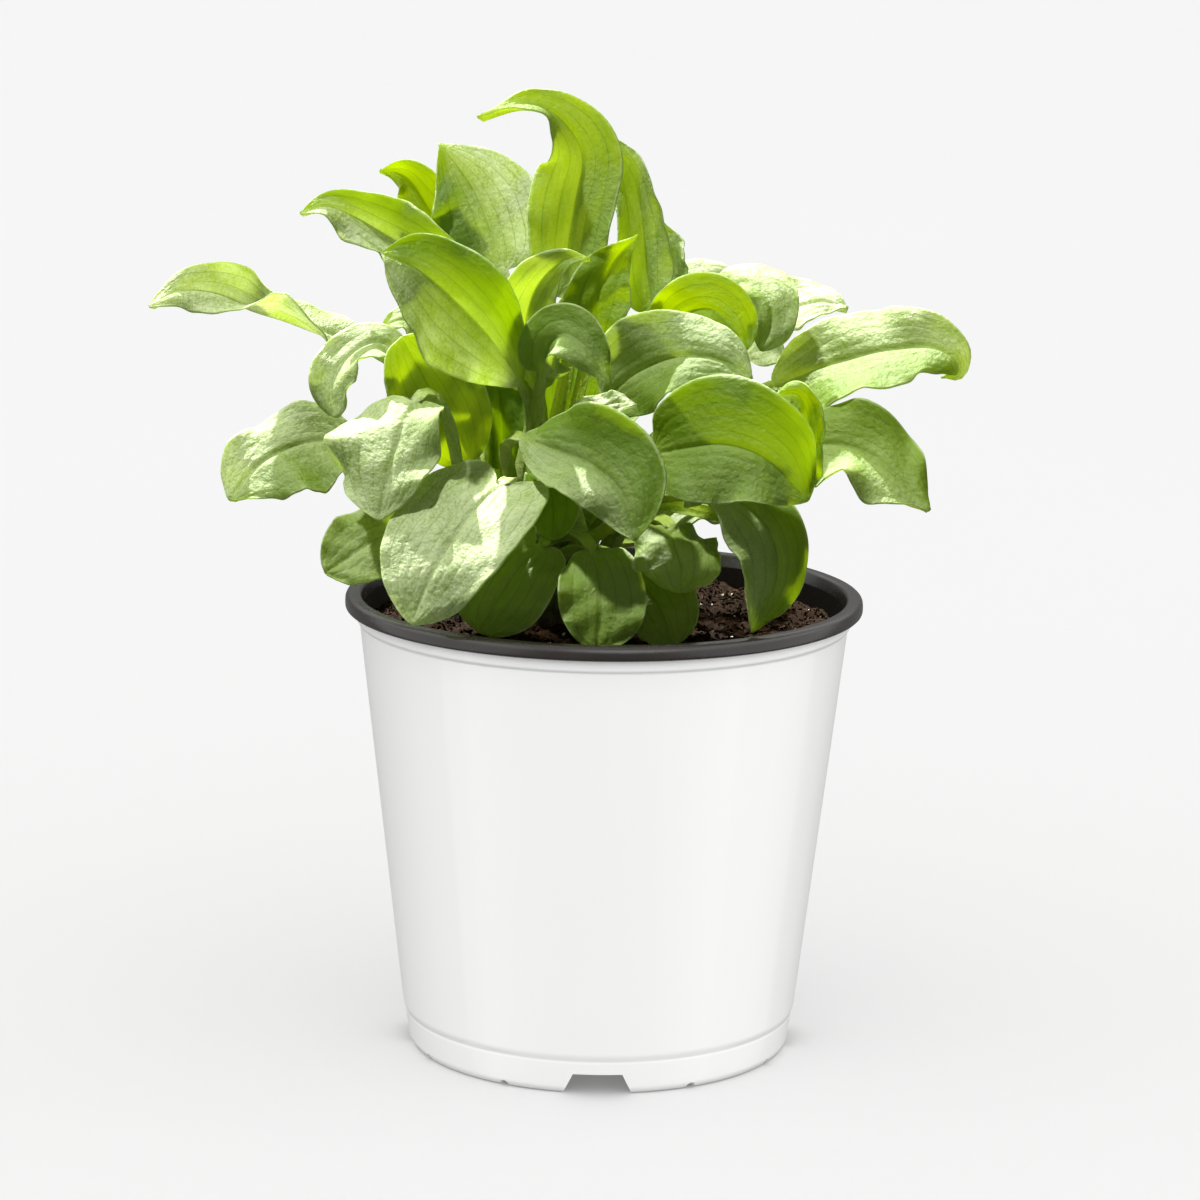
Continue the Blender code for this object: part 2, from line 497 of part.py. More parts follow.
def pot_cutters():
    """The notches and small arches through the foot ring, and the drain holes in the floor."""
    half_top, half_foot = 0.5 * NOTCH_TOP_WIDTH, 0.5 * NOTCH_FOOT_WIDTH
    slope = (half_foot - half_top) / NOTCH_HEIGHT
    outline = [(-half_foot - slope, -1.0), (half_foot + slope, -1.0), (half_top, NOTCH_HEIGHT),
               (-half_top, NOTCH_HEIGHT)]
    arch = circle(ARCH_RADIUS, 12)
    pieces = []
    for bearing in NOTCH_BEARINGS:
        pieces.append(prism(outline, FOOT_RADIUS - 8, FOOT_RADIUS + 6, math.radians(bearing)))
        for sign in (-1, 1):
            turn = math.radians(bearing + sign * ARCH_OFFSET)
            pieces.append(prism(arch, FOOT_RADIUS - 8, FOOT_RADIUS + 6, turn))
    for i in range(DRAIN_COUNT):
        turn = math.tau * (i + 0.5) / DRAIN_COUNT
        place = (DRAIN_CIRCLE * math.cos(turn), DRAIN_CIRCLE * math.sin(turn))
        ring = circle(DRAIN_RADIUS, DRAIN_SIDES, place)
        verts = [(x, y, z) for z in (FLOOR_UNDERSIDE - 1, FLOOR_TOP + 1) for x, y in ring]
        faces = [tuple(range(DRAIN_SIDES))[::-1], tuple(range(DRAIN_SIDES, 2 * DRAIN_SIDES))]
        for k in range(DRAIN_SIDES):
            m = (k + 1) % DRAIN_SIDES
            faces.append((k, m, DRAIN_SIDES + m, DRAIN_SIDES + k))
        pieces.append((verts, faces))
    return pieces


def inner_radius(height):
    """Inside radius of the pot's wall at a height."""
    share = (height - FOOT_HEIGHT) / (POT_HEIGHT - LIP_HEIGHT - FOOT_HEIGHT)
    return BODY_FOOT_RADIUS + share * (BODY_TOP_RADIUS - BODY_FOOT_RADIUS) - WALL


# ---- end of shared solids
# ---------------------------------------------------------------- building
def clear_scene():
    """Remove whatever the scene holds."""
    for obj in list(bpy.data.objects):
        bpy.data.objects.remove(obj, do_unlink=True)


def material(name, colour, roughness):
    """A plain coloured material."""
    mat = bpy.data.materials.new(name)
    mat.use_nodes = True
    shader = mat.node_tree.nodes["Principled BSDF"]
    shader.inputs["Base Color"].default_value = (*colour, 1.0)
    shader.inputs["Roughness"].default_value = roughness
    return mat


def add_object(name, verts, faces, mat=None, smooth=True, centre=(0.0, 0.0)):
    """A mesh object from millimetre points, standing at the plant's place in the frame."""
    mesh = bpy.data.meshes.new(name)
    points = np.array(verts, float)
    points[:, :2] -= centre
    mesh.from_pydata([tuple(p) for p in points * MM], [], [tuple(f) for f in faces])
    mesh.update()
    obj = bpy.data.objects.new(name, mesh)
    bpy.context.collection.objects.link(obj)
    obj.location = ((PLANT_SHIFT[0] + centre[0]) * MM, (PLANT_SHIFT[1] + centre[1]) * MM, 0)
    if mat:
        mesh.materials.append(mat)
    for polygon in mesh.polygons:
        polygon.use_smooth = smooth
    return obj


def lathe(name, profile, segments, mat=None, centre=(0.0, 0.0)):
    """A solid of revolution from a closed profile of (radius, height), outer side downward."""
    mesh = bpy.data.meshes.new(name)
    verts = [(r * MM, 0, z * MM) for r, z in profile]
    closed = profile[0][0] > 0
    edges = [(i, i + 1) for i in range(len(verts) - 1)]
    if closed:
        edges.append((len(verts) - 1, 0))
    mesh.from_pydata(verts, edges, [])
    obj = bpy.data.objects.new(name, mesh)
    bpy.context.collection.objects.link(obj)
    obj.location = ((PLANT_SHIFT[0] + centre[0]) * MM, (PLANT_SHIFT[1] + centre[1]) * MM, 0)
    screw = obj.modifiers.new("turn", "SCREW")
    screw.axis = "Z"
    screw.steps = segments
    screw.render_steps = segments
    screw.use_merge_vertices = True
    screw.merge_threshold = 0.00001
    screw.use_smooth_shade = True
    if mat:
        mesh.materials.append(mat)
    return obj


def cut(target, cutter, operation="DIFFERENCE"):
    """Take the cutter out of the target, or join it on."""
    modifier = target.modifiers.new(cutter.name, "BOOLEAN")
    modifier.operation = operation
    modifier.solver = "EXACT"
    modifier.object = cutter
    cutter.hide_render = True
    cutter.display_type = "WIRE"


def build_pot():
    """The moulded pot: rolled rim, tapered wall, foot ring with notches, floor with holes."""
    top = POT_HEIGHT
    under = top - LIP_HEIGHT
    lip_in = RIM_RADIUS - LIP_WIDTH
    profile = [
        (lip_in, top - 1.0), (lip_in + 0.9, top), (RIM_RADIUS - 1.2, top),
        (RIM_RADIUS - 0.3, top - 0.6), (RIM_RADIUS, top - 1.6), (RIM_RADIUS, under + 1.0),
        (RIM_RADIUS - 0.7, under), (BODY_TOP_RADIUS + 0.6, under), (BODY_TOP_RADIUS, under - 1.0),
        (BODY_FOOT_RADIUS, FOOT_HEIGHT + 2.2), (BODY_FOOT_RADIUS - 0.6, FOOT_HEIGHT + 0.6),
        (FOOT_RADIUS + 0.5, FOOT_HEIGHT), (FOOT_RADIUS, 0.5), (FOOT_RADIUS - 0.4, 0.0),
        (FOOT_RADIUS - FOOT_WALL, 0.0), (FOOT_RADIUS - FOOT_WALL, FLOOR_UNDERSIDE),
        (CENTRE_HOLE, FLOOR_UNDERSIDE), (CENTRE_HOLE, FLOOR_TOP),
        (inner_radius(FLOOR_TOP + 2.0) - 2.2, FLOOR_TOP), (inner_radius(FLOOR_TOP + 2.0), FLOOR_TOP + 2.0),
        (inner_radius(under), under),
    ]
    pot = lathe("pot", profile, POT_SEGMENTS, material("pot", (0.84, 0.84, 0.82), 0.4))
    cutter = add_object("pot_cutter", *gather(pot_cutters()), smooth=False)
    make_outward(cutter)
    cut(pot, cutter)
    return pot


def crown_profile(extra):
    """Half outline of the rootstock: a flat ring under each circle of stalks, grown by extra."""
    points = []
    for ring in ("heart", "inner", "middle", "outer"):
        radius, height = CROWN_RINGS[ring]
        level = height - FIT_GAP + extra
        inner = max(radius - RING_HALF_WIDTH, 0.0)
        points.append((inner + extra if inner > 0 else 0.0, level))
        points.append((radius + RING_HALF_WIDTH + extra, level))
    foot = SOIL_TOP - RHIZOME_DEPTH
    return points + [(RHIZOME_RADIUS + extra, SOIL_TOP + 6), (RHIZOME_RADIUS + extra, SOIL_TOP - 12),
                     (RHIZOME_RADIUS - 6 + extra, foot + 8), (RHIZOME_RADIUS - 15 + extra, foot - extra),
                     (0.0, foot - extra)]


def root_tube(index, extra):
    """One fleshy root, running down and out from the underside of the rootstock."""
    turn = 2 * math.pi * (index + 0.3) / ROOT_COUNT
    start_height = SOIL_TOP - RHIZOME_DEPTH + 12
    verts, faces = [], []
    rings, sides = 5, 6
    for k in range(rings):
        share = k / (rings - 1)
        reach = 8 + 26 * share ** 0.7 + 3 * math.sin(2.1 * index + 3 * share)
        height = start_height - ROOT_LENGTH * share
        radius = (ROOT_RADIUS - 1.2 * share) + extra
        if k == rings - 1:
            height -= extra
        cx, cy = reach * math.cos(turn), reach * math.sin(turn)
        for px, py in circle(radius, sides, (cx, cy)):
            verts.append((CROWN_CENTRE[0] + px, CROWN_CENTRE[1] + py, height))
    for k in range(rings - 1):
        for j in range(sides):
            a, b = k * sides + j, k * sides + (j + 1) % sides
            faces.append((a, a + sides, b + sides, b))
    faces.append(tuple(range(sides)))
    faces.append(tuple(range((rings - 1) * sides, rings * sides))[::-1])
    return verts, faces


def crown_solid(name, extra, mat=None):
    """The rootstock with its roots, grown by extra all round."""
    body = lathe(name, crown_profile(extra), 24, mat, centre=CROWN_CENTRE)
    roots = add_object(name + "_roots", *gather([root_tube(i, extra) for i in range(ROOT_COUNT)]))
    make_outward(roots)
    cut(body, roots, "UNION")
    return body


def build_crown():
    """The stub of rootstock the leaf stalks stand on, with its fleshy roots."""
    return crown_solid("crown", 0.0, material("crown", (0.30, 0.20, 0.09), 0.7))


def build_soil():
    """The potting mix: fills the pot to below the rim, with a socket for crown and roots."""
    rings = [0.0, 20.0, 36.0, 50.0, 63.0, inner_radius(SOIL_TOP) - 2.0]
    wall_top = inner_radius(SOIL_TOP - 1.0) - FIT_GAP
    wall_foot = inner_radius(FLOOR_TOP + 2.0) - FIT_GAP
    sides = 32
    verts, faces = [(0.0, 0.0, SOIL_TOP)], []
    for radius in rings[1:]:
        for j in range(sides):
            turn = 2 * math.pi * j / sides
            height = SOIL_TOP + soil_relief(radius, turn)
            verts.append((radius * math.cos(turn), radius * math.sin(turn), height))
    for radius, height in ((wall_top, SOIL_TOP - 2.0), (wall_foot, FLOOR_TOP + 2.4),
                           (wall_foot - 2.4, FLOOR_TOP + FIT_GAP)):
        for x, y in circle(radius, sides):
            verts.append((x, y, height))
    verts.append((0.0, 0.0, FLOOR_TOP + FIT_GAP))
    last = len(verts) - 1
    loops = (last - 1) // sides
    for j in range(sides):
        k = (j + 1) % sides
        faces.append((0, 1 + j, 1 + k))
        for i in range(loops - 1):
            a, b = 1 + i * sides, 1 + (i + 1) * sides
            faces.append((a + j, b + j, b + k, a + k))
        a = 1 + (loops - 1) * sides
        faces.append((last, a + k, a + j))
    soil = add_object("soil", verts, faces, material("soil", (0.06, 0.035, 0.02), 0.95))
    make_outward(soil)
    cut(soil, crown_solid("socket", FIT_GAP))
    return soil


def soil_relief(radius, turn):
    """Small rises and hollows of the surface, in millimetres."""
    return (1.2 * math.sin(0.11 * radius + 2 * turn) + 0.9 * math.sin(0.23 * radius - 3 * turn + 1)
            - 1.0 * (radius / 75) ** 2)


def build_leaves():
    """One solid for each leaf: stalk and blade together."""
    for name, leaf in LEAVES.items():
        across = 6 if sum(half_widths(leaf)) >= 26 else 4
        verts, faces = leaf_mesh(leaf, 5, 9, across)
        young, wax = leaf.get("tone", 0.45), leaf.get("bloom", 0.3)
        green = (0.12 + 0.20 * young + 0.10 * wax, 0.26 + 0.18 * young + 0.10 * wax, 0.03 + 0.12 * wax)
        add_object(name, verts, faces, material(name, green, 0.5))


clear_scene()
build_pot()
build_crown()
build_soil()
build_leaves()
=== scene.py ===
"""Looks of the young hosta in its nursery pot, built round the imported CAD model.

Lengths in the tables are millimetres, measured from the pot's own axis (x right, y back, z up
from the underside of the foot ring). Camera, lights and floor are in metres.
"""

import math

import bmesh
import bpy
import numpy as np
from mathutils import Euler, Matrix, Vector


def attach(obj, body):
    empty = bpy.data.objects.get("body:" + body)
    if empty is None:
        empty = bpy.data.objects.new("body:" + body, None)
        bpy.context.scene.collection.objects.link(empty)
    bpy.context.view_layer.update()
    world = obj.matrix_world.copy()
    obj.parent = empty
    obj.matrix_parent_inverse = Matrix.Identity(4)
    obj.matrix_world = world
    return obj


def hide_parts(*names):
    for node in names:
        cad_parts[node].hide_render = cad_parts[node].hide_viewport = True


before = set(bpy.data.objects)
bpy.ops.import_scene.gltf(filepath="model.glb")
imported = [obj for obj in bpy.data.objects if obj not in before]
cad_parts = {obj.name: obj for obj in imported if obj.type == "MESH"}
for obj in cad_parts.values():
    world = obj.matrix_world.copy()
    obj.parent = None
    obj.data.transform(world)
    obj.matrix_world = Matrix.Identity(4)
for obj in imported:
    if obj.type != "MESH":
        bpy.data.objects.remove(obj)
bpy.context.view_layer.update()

# ---------------------------------------------------------------- camera, light and colours
CAMERA_LENS = 120.0
CAMERA_PITCH = 11.68           # degrees below level
CAMERA_ROLL = 0.81
CAMERA_PLACE = (0.01498, -1.2506, 0.403)

# The two narrow suns (key, sky) light only the plant and the mix, and cast crisp shadows there.
# The wide light from above is for the floor and the pot, the side and front lights for the pot.
ROOM_LIGHT = 0.26
KEY_TOWARD = (-0.40, 0.70, 1.0)
KEY_SPREAD = 1.0               # degrees across
KEY_POWER = 15.5
KEY_COLOUR = (1.0, 0.98, 0.92)
SKY_TOWARD = (-0.40, -0.05, 1.0)
SKY_SPREAD = 3.0
SKY_POWER = 6.5
TOP_SPREAD = 150.0
TOP_POWER = 2.42
SIDE_TOWARD = (1.0, -0.25, 0.15)
SIDE_SPREAD = 90.0
SIDE_POWER = 1.6
FILL_PLACE = (0.3, -1.8, 1.0)
FILL_SIZE = 1.6
FILL_POWER = 14.0

FLOOR_HALF = 14.0
FLOOR_LEVEL = -0.0002
FLOOR_A = (0.90, 0.90, 0.90)
FLOOR_B = (0.92, 0.92, 0.92)
# Leaf greens from dark to lime; the tone between them is partly the leaf's age and partly painted shade
# and light, set per leaf.
LEAF_DEEP = (0.050, 0.120, 0.002)
LEAF_LIME = (0.200, 0.340, 0.002)
LEAF_STREAK = (0.130, 0.240, 0.005)
# Pale wax colours: partly real wax, partly painted sheen, the whitish glare of sunlight painted into the
# leaf's colour.
LEAF_WAX_SHEEN = (0.600, 0.690, 0.420)
LEAF_VEIN = (0.100, 0.180, 0.012)
LEAF_STALK = (0.330, 0.440, 0.050)
LEAF_MARGIN = (0.500, 0.640, 0.300)
# Light through the leaf, dark to lime by the same tone, so it carries the same painted shade and light.
GLOW_DEEP = (0.330, 0.470, 0.002)
GLOW_LIME = (0.700, 0.800, 0.006)
# Painted sheen in the light that passes through the leaf: it turns whitish where the wax is painted.
GLOW_WAX_SHEEN = (0.780, 0.840, 0.600)
GLOW_VEIN = (0.240, 0.380, 0.006)
LEAF_THROUGH = 0.55
POT_WHITE = (0.86, 0.86, 0.85)
POT_SHADE = (0.82, 0.82, 0.82)
RIM_DARK = (0.014, 0.011, 0.010)
RIM_LIGHT = (0.028, 0.023, 0.020)
# The inside of the pot: the rim's dark plastic painted darker and duller, painted shade in the pot's
# hollow.
INSIDE_SHADE_DARK = (0.006, 0.004, 0.003)
INSIDE_SHADE_LIGHT = (0.014, 0.009, 0.007)
SOIL_BLACK = (0.004, 0.0022, 0.0012)
SOIL_BROWN = (0.020, 0.010, 0.0045)
SOIL_FIBRE = (0.062, 0.031, 0.015)
SOIL_CHIP = (0.075, 0.043, 0.025)
PERLITE_GREY = (0.45, 0.42, 0.36)
PERLITE_WHITE = (0.80, 0.78, 0.72)
ROOT_DARK = (0.012, 0.006, 0.003)
ROOT_BROWN = (0.045, 0.026, 0.010)
ROOT_PALE = (0.12, 0.085, 0.030)
ROOT_FRESH = (0.18, 0.24, 0.04)

MM = 0.001
PLANT_SHIFT = (16.3, 0.0)      # the leaves reach further to the left than to the right

# ---------------------------------------------------------------- the pot
RIM_RADIUS = 82.5
POT_HEIGHT = 147.0
LIP_WIDTH = 5.0
LIP_HEIGHT = 4.6
WALL = 1.7
BODY_TOP_RADIUS = 78.2
BODY_FOOT_RADIUS = 63.5
FOOT_RADIUS = 61.2
FOOT_HEIGHT = 10.0
FOOT_WALL = 2.4
FLOOR_UNDERSIDE = 8.0
FLOOR_TOP = 10.0
NOTCH_TOP_WIDTH = 15.4
NOTCH_FOOT_WIDTH = 21.5
NOTCH_HEIGHT = 6.5
NOTCH_BEARINGS = (0, 90, 180, 270)
ARCH_RADIUS = 1.7
ARCH_OFFSET = 28.6             # degrees either side of each notch
DRAIN_RADIUS = 4.5
DRAIN_CIRCLE = 44.0
DRAIN_COUNT = 8
CENTRE_HOLE = 6.0
DRAIN_SIDES = 16
FIT_GAP = 0.3                  # space left between two pieces that lie against each other

# ---------------------------------------------------------------- the potting mix and the crown
SOIL_TOP = 138.5
CROWN_CENTRE = (-22.0, 2.0)
CROWN_RINGS = {                # stalks stand on stepped rings: radius and height of each
    "outer": (23.0, 156.0),
    "middle": (15.8, 163.0),
    "inner": (8.6, 168.0),
    "heart": (0.0, 170.0),
}

# ---------------------------------------------------------------- the leaves
BLADE_EDGE = 0.55              # thickness at the margin
BLADE_RIB = 0.95               # thickness along the midrib
STALK_HALF = 2.2               # half the width of a leaf stalk
STALK_DEPTH = 3.2
RIPPLE_DEPTH = 1.4             # how far a margin ripples where wave is 1

COLUMNS = ("ring", "bearing", "rib", "face", "width", "left", "right")
USUAL = {"full": 1.0, "base": 0.62, "lobe": 2.5, "wave": 1.0, "ripples": 1.8, "bloom": 0.3}


def row(*columns, **more):
    """One leaf of the table: its columns in order, and what differs from the usual settings."""
    return {**USUAL, **dict(zip(COLUMNS, columns)), **more}


# name: ring and bearing of the stalk on the crown, the line of the midrib from the foot of the
# blade to its tip, directions the upper face looks on the way from foot to tip, the width (or the half
# width left and right of the midrib), and how steeply the left and right halves rise at the midrib
# and at the margin, in degrees (or that pair for the foot and for the tip).  Further settings:
#   full     how broad the blade stays toward its tip     base    how slowly it widens at its foot
#   lobe     how far the foot's lobes reach back (mm)      wave    how strongly the margins ripple
#   ripples  how many ripples on the length                tone    0 dark to 1 lime: partly age, partly painted shade and light
#   bloom    how much pale wax covers it, partly real wax and partly painted sheen (one value, or left and right half)
LEAVES = {
    "far_left": row("outer", 154, [(-80, 18, 223), (-91, 17, 227), (-101, 15, 231), (-112, 13, 235),
      (-124, 9, 240), (-135, 6, 241), (-145, 4, 236)], [(3, -9, 3), (1, -4, 9), (0, 0, 10), (-1, -7, 7),
      (-2, -8, 5), (-3, -7, 6)], 25, (30, 40), (20, 30), full=1.3, wave=1.6, ripples=1.3,
      bloom=(1.0, 0.75), tone=0.5),
    "upper_left": row("inner", 134, [(-47, 18, 241), (-59, 21, 251), (-70, 23, 257), (-80, 21, 263),
      (-90, 18, 267), (-98, 15, 265)], [(0, -8, 6), (0, -8, 6), (-1, -8, 5)], 26, (30, 20), (45, 55),
      full=1.1, wave=1.3, bloom=(1.1, 0.1), tone=0.5),
    "back_curl": row("middle", 136, [(-47, 34, 243), (-53, 38, 255), (-60, 40, 267), (-66, 39, 275),
      (-74, 36, 277)], [(3, -9, 2), (3, -9, 2), (0, -9, 5)], 25, (25, 20), (30, 45), full=1.1, wave=1.4,
      bloom=0.0, tone=0.9),
    "back_pointed": row("middle", 108, [(-34, 28, 246), (-38, 32, 258), (-45, 35, 273), (-55, 36, 286)],
      [(-1, -9, 4), (-1, -9, 4), (0, -9, 3)], (19, 21), (20, 15), (25, 20), full=1.05, wave=1.5,
      ripples=2.4, bloom=(0.1, 1.1), tone=0.5),
    "big_left": row("inner", 214, [(-27, -14, 216), (-36, -23, 231), (-47, -31, 244), (-58, -37, 254),
      (-69, -40, 259)], [(1, -9, 4), (-1, -8, 6), (-2, -7, 7)], (22, 16), (10, 0), ((35, 30), (25, 5)),
      full=1.6, base=1.0, wave=1.2, bloom=(0.65, 0.0), tone=0.35),
    "centre_cup": row("heart", 0, [(-22, 0, 212), (-26, -4, 230), (-23, -12, 245), (-15, -20, 255),
      (-6, -25, 257)], [(0, -10, 2), (0, -10, 2), (3, -9, 5)], 24, (35, 40), (35, 60), wave=0.8,
      tone=0.75),
    "tallest": row("inner", 80, [(-12, 8, 240), (-13, 12, 254), (-11, 16, 269), (-9, 18, 285),
      (-17, 16, 297), (-27, 12, 301), (-42, 8, 297)], [(0, -10, 1), (0, -10, 1), (0, -10, 2), (-2, -6, 8),
      (-2, -4, 9)], 29, (15, 25), (20, 30), full=0.85, wave=1.2, ripples=1.4, bloom=(0.25, 0.15),
      tone=0.75),
    "behind_tallest": row("middle", 48, [(14, 30, 233), (12, 35, 250), (10, 38, 266), (6, 39, 279),
      (-4, 36, 292)], [(-4, -9, 2), (-4, -9, 3), (-1, -8, 6)], (11, 9), (50, 60), (15, 20), wave=1.4,
      bloom=(0.1, 0.4), tone=0.45),
    "back_small": row("outer", 56, [(18, 46, 235), (20, 50, 247), (17, 52, 261)], [(-3, -9, 3)], 17,
      (25, 30), (25, 30), full=0.9),
    "centre_lime": row("inner", 30, [(-6, 2, 226), (-4, 3, 238), (0, 5, 250), (9, 6, 261)], [(0, -10, 1),
      (0, -10, 1), (1, -10, 2)], 22, (15, 10), (20, 30), full=0.9, wave=0.7, bloom=0.0, tone=0.95),
    "round_lime": row("inner", 346, [(18, -4, 227), (23, -8, 237), (31, -12, 240), (38, -16, 236),
      (43, -19, 228)], [(1, -9, 1), (1, -9, 3), (2, -8, 5)], 23, (15, 15), (25, 40), full=1.8, wave=1.1,
      bloom=0.0, tone=1.0),
    "right_nod": row("middle", 16, [(33, 9, 238), (41, 4, 246), (49, -3, 244), (51, -8, 236),
      (48, -12, 227)], [(-1, -5, 9), (1, -6, 8), (3, -9, 2)], 20, (10, 20), (10, 20), full=1.7, wave=1.3,
      bloom=(0.7, 0.2), tone=0.75),
    "right_long": row("outer", 40, [(44, 36, 219), (51, 36, 228), (59, 34, 234), (68, 30, 237),
      (77, 26, 236)], [(1, -8, 6), (1, -7, 7), (1, -6, 8)], 29, (10, 5), (15, 25), full=1.05, wave=1.7,
      ripples=2.2, bloom=1.0),
    "back_right": row("outer", 76, [(22, 52, 220), (25, 57, 231), (32, 58, 239), (43, 54, 243)],
      [(-1, -8, 5), (0, -8, 6), (1, -7, 7)], 28, (15, 10), (15, 10), wave=1.5, ripples=2.1, bloom=1.0),
    "far_right": row("outer", 8, [(52, 0, 214), (63, -3, 219), (75, -8, 224), (87, -13, 228),
      (99, -17, 230), (107, -20, 227), (109, -19, 222), (104, -16, 220)], [(0, -8, 6), (0, -7, 7),
      (1, -6, 8), (3, -7, 6), (6, -8, -1)], (17, 21), (25, 10), (15, 5), full=0.9, base=0.9, wave=1.8,
      ripples=1.9, bloom=(0.6, 0.1), tone=0.65),
    "right_low": row("outer", 352, [(60, -27, 198), (70, -31, 201), (81, -37, 199), (90, -43, 192),
      (99, -49, 184)], [(0, -9, 5), (1, -8, 6), (4, -8, 5)], (15, 19), (15, 5), (15, 30), full=1.2,
      wave=1.9, ripples=2.3, bloom=(0.1, 0.45), tone=0.7),
    "mid_right": row("inner", 306, [(-1, -22, 213), (10, -29, 223), (22, -34, 228), (34, -40, 228),
      (44, -45, 223)], [(0, -9, 5), (0, -8, 6), (1, -7, 7)], (16, 15), (30, 10), (10, 0), full=1.3,
      wave=1.6, bloom=(0.5, 0.15), tone=0.5),
    "big_right": row("middle", 332, [(15, -43, 199), (25, -52, 203), (37, -59, 205), (49, -64, 201),
      (61, -64, 189)], [(0, -9, 4), (0, -9, 4), (2, -9, 3)], (21, 19), (20, 20), (10, -10), full=1.5,
      wave=1.8, bloom=(0.0, 0.2), tone=0.5),
    "lime_curl": row("middle", 354, [(57, -42, 188), (61, -45, 202), (61, -46, 213), (57, -45, 219),
      (50, -42, 216)], [(-3, -9, 3), (-3, -9, 3), (-2, -7, 7), (-7, -6, -2)], 14, (35, 45), (25, 30),
      full=1.2, bloom=0.0, tone=0.95),
    "front_centre": row("middle", 252, [(-26, -34, 202), (-15, -44, 200), (-4, -54, 197), (5, -63, 190),
      (9, -69, 177)], [(-3, -6, 8), (-1, -7, 7), (1, -9, 4)], (19, 15), (40, 40), (15, 0), full=1.25,
      base=1.0, wave=1.3, bloom=(0.05, 0.55), tone=0.45),
    "right_droop": row("outer", 331, [(26, -38, 186), (39, -48, 187), (50, -57, 178), (52, -62, 164),
      (45, -62, 148)], [(1, -5, 9), (2, -8, 6), (4, -9, 0)], (11, 16), (10, 5), (25, 15), full=1.4,
      wave=1.3, bloom=(0.0, 0.4), tone=0.5),
    "small_curl": row("outer", 302, [(20, -50, 177), (21, -59, 174), (23, -64, 168), (23, -63, 160)],
      [(1, -7, 7), (1, -9, 4), (0, -9, -4)], 28, (10, -30), (10, -30), full=1.9, lobe=6, wave=0.8,
      bloom=0.25, tone=0.9),
    "front_heart": row("outer", 231, [(-32, -45, 189), (-41, -57, 182), (-51, -67, 168), (-58, -73, 151)],
      [(-2, -7, 7), (-2, -8, 6), (-2, -9, 3)], (21, 22), (15, 5), (0, -5), full=1.5, lobe=13, wave=1.2,
      bloom=(0.9, 0.75), tone=0.45),
    "left_front": row("outer", 214, [(-59, -30, 212), (-63, -38, 205), (-66, -46, 194), (-69, -53, 179)],
      [(-2, -7, 7), (-2, -8, 6), (-2, -9, 3)], (14, 22), (10, 5), (10, -35), full=1.4, lobe=6, wave=2.0,
      bloom=(0.55, 0.8), tone=0.45),
    "left_low": row("outer", 174, [(-79, -10, 195), (-90, -13, 197), (-102, -18, 194), (-111, -23, 188),
      (-117, -27, 180)], [(0, -7, 7), (-2, -8, 6), (-4, -8, 4)], (19, 14), (5, 0), (15, 0), full=1.6,
      wave=1.8, ripples=2.1, bloom=(0.3, 0.9), tone=0.45),
    "left_arch": row("middle", 192, [(-62, -2, 222), (-73, -5, 227), (-82, -9, 222), (-86, -14, 214),
      (-84, -18, 205)], [(0, -5, 9), (-3, -6, 8), (-6, -7, 2), (-3, -9, -2)], (13, 9), (15, 30), (15, 30),
      full=1.8, wave=0.8, bloom=0.7, tone=0.5),
    "left_upright": row("middle", 212, [(-43, -7, 190), (-50, -11, 205), (-58, -15, 219), (-64, -20, 231)],
      [(1, -10, 2), (1, -10, 2), (0, -9, 4)], 31, (20, 15), (15, 10), full=2.1, bloom=0.1, tone=0.8),
    "left_inner": row("middle", 168, [(-50, 10, 222), (-58, 11, 229), (-65, 10, 232), (-72, 7, 230)],
      [(0, -7, 7)], 19, (20, 20), (20, 20), wave=1.3, bloom=0.4, tone=0.7),
    "low_left": row("outer", 193, [(-63, -30, 173), (-71, -36, 170), (-78, -41, 166), (-86, -45, 161)],
      [(-2, -9, 4), (-3, -9, 3), (-4, -9, 1)], 25, (10, 5), (10, 5), full=1.8, lobe=5, bloom=0.4,
      tone=0.55),
    "front_low_left": row("outer", 249, [(-20, -50, 171), (-26, -57, 166), (-33, -63, 156),
      (-38, -64, 147)], [(0, -8, 6), (0, -9, 4), (0, -10, 1)], (14, 18), (5, 0), (5, 0), full=2.1, lobe=8,
      wave=1.2, bloom=0.1, tone=0.7),
    "front_low_mid": row("outer", 267, [(-4, -51, 170), (-2, -59, 164), (-1, -65, 155), (-2, -68, 143)],
      [(0, -8, 6), (0, -9, 4), (0, -10, 1)], (14, 13), (5, 0), (5, 0), full=2.1, lobe=4, bloom=0.15,
      tone=0.75),
    "front_low_right": row("outer", 285, [(8, -44, 163), (13, -52, 159), (18, -58, 152), (21, -62, 143)],
      [(1, -8, 6), (1, -9, 4), (1, -10, 1)], 25, (5, 0), (5, 0), full=1.9, lobe=5, bloom=0.1, tone=0.8),
    "front_inner": row("middle", 279, [(-18, -29, 190), (-17, -37, 187), (-16, -44, 181), (-16, -48, 173)],
      [(0, -8, 6), (0, -9, 4), (0, -10, 1)], 18, (10, 5), (10, 5), full=1.9, lobe=5, bloom=0.0, tone=0.7),
    "centre_nod": row("inner", 268, [(-20, -21, 220), (-18, -27, 230), (-13, -33, 234), (-6, -38, 230),
      (1, -41, 220)], [(-1, -8, 5), (0, -8, 6), (2, -8, 5)], 21, (20, 30), (20, -10), full=1.1, wave=0.8,
      bloom=(0.1, 0.4), tone=0.45),
    "centre_pale": row("outer", 316, [(-9, -32, 204), (-4, -36, 210), (2, -39, 214), (9, -41, 214)],
      [(0, -7, 7), (0, -7, 7), (0, -6, 8)], 13, (10, 10), (10, 10), full=1.1, bloom=1.0),
    "inner_left": row("inner", 175, [(-32, 4, 186), (-33, 5, 200), (-35, 5, 213), (-38, 3, 225)],
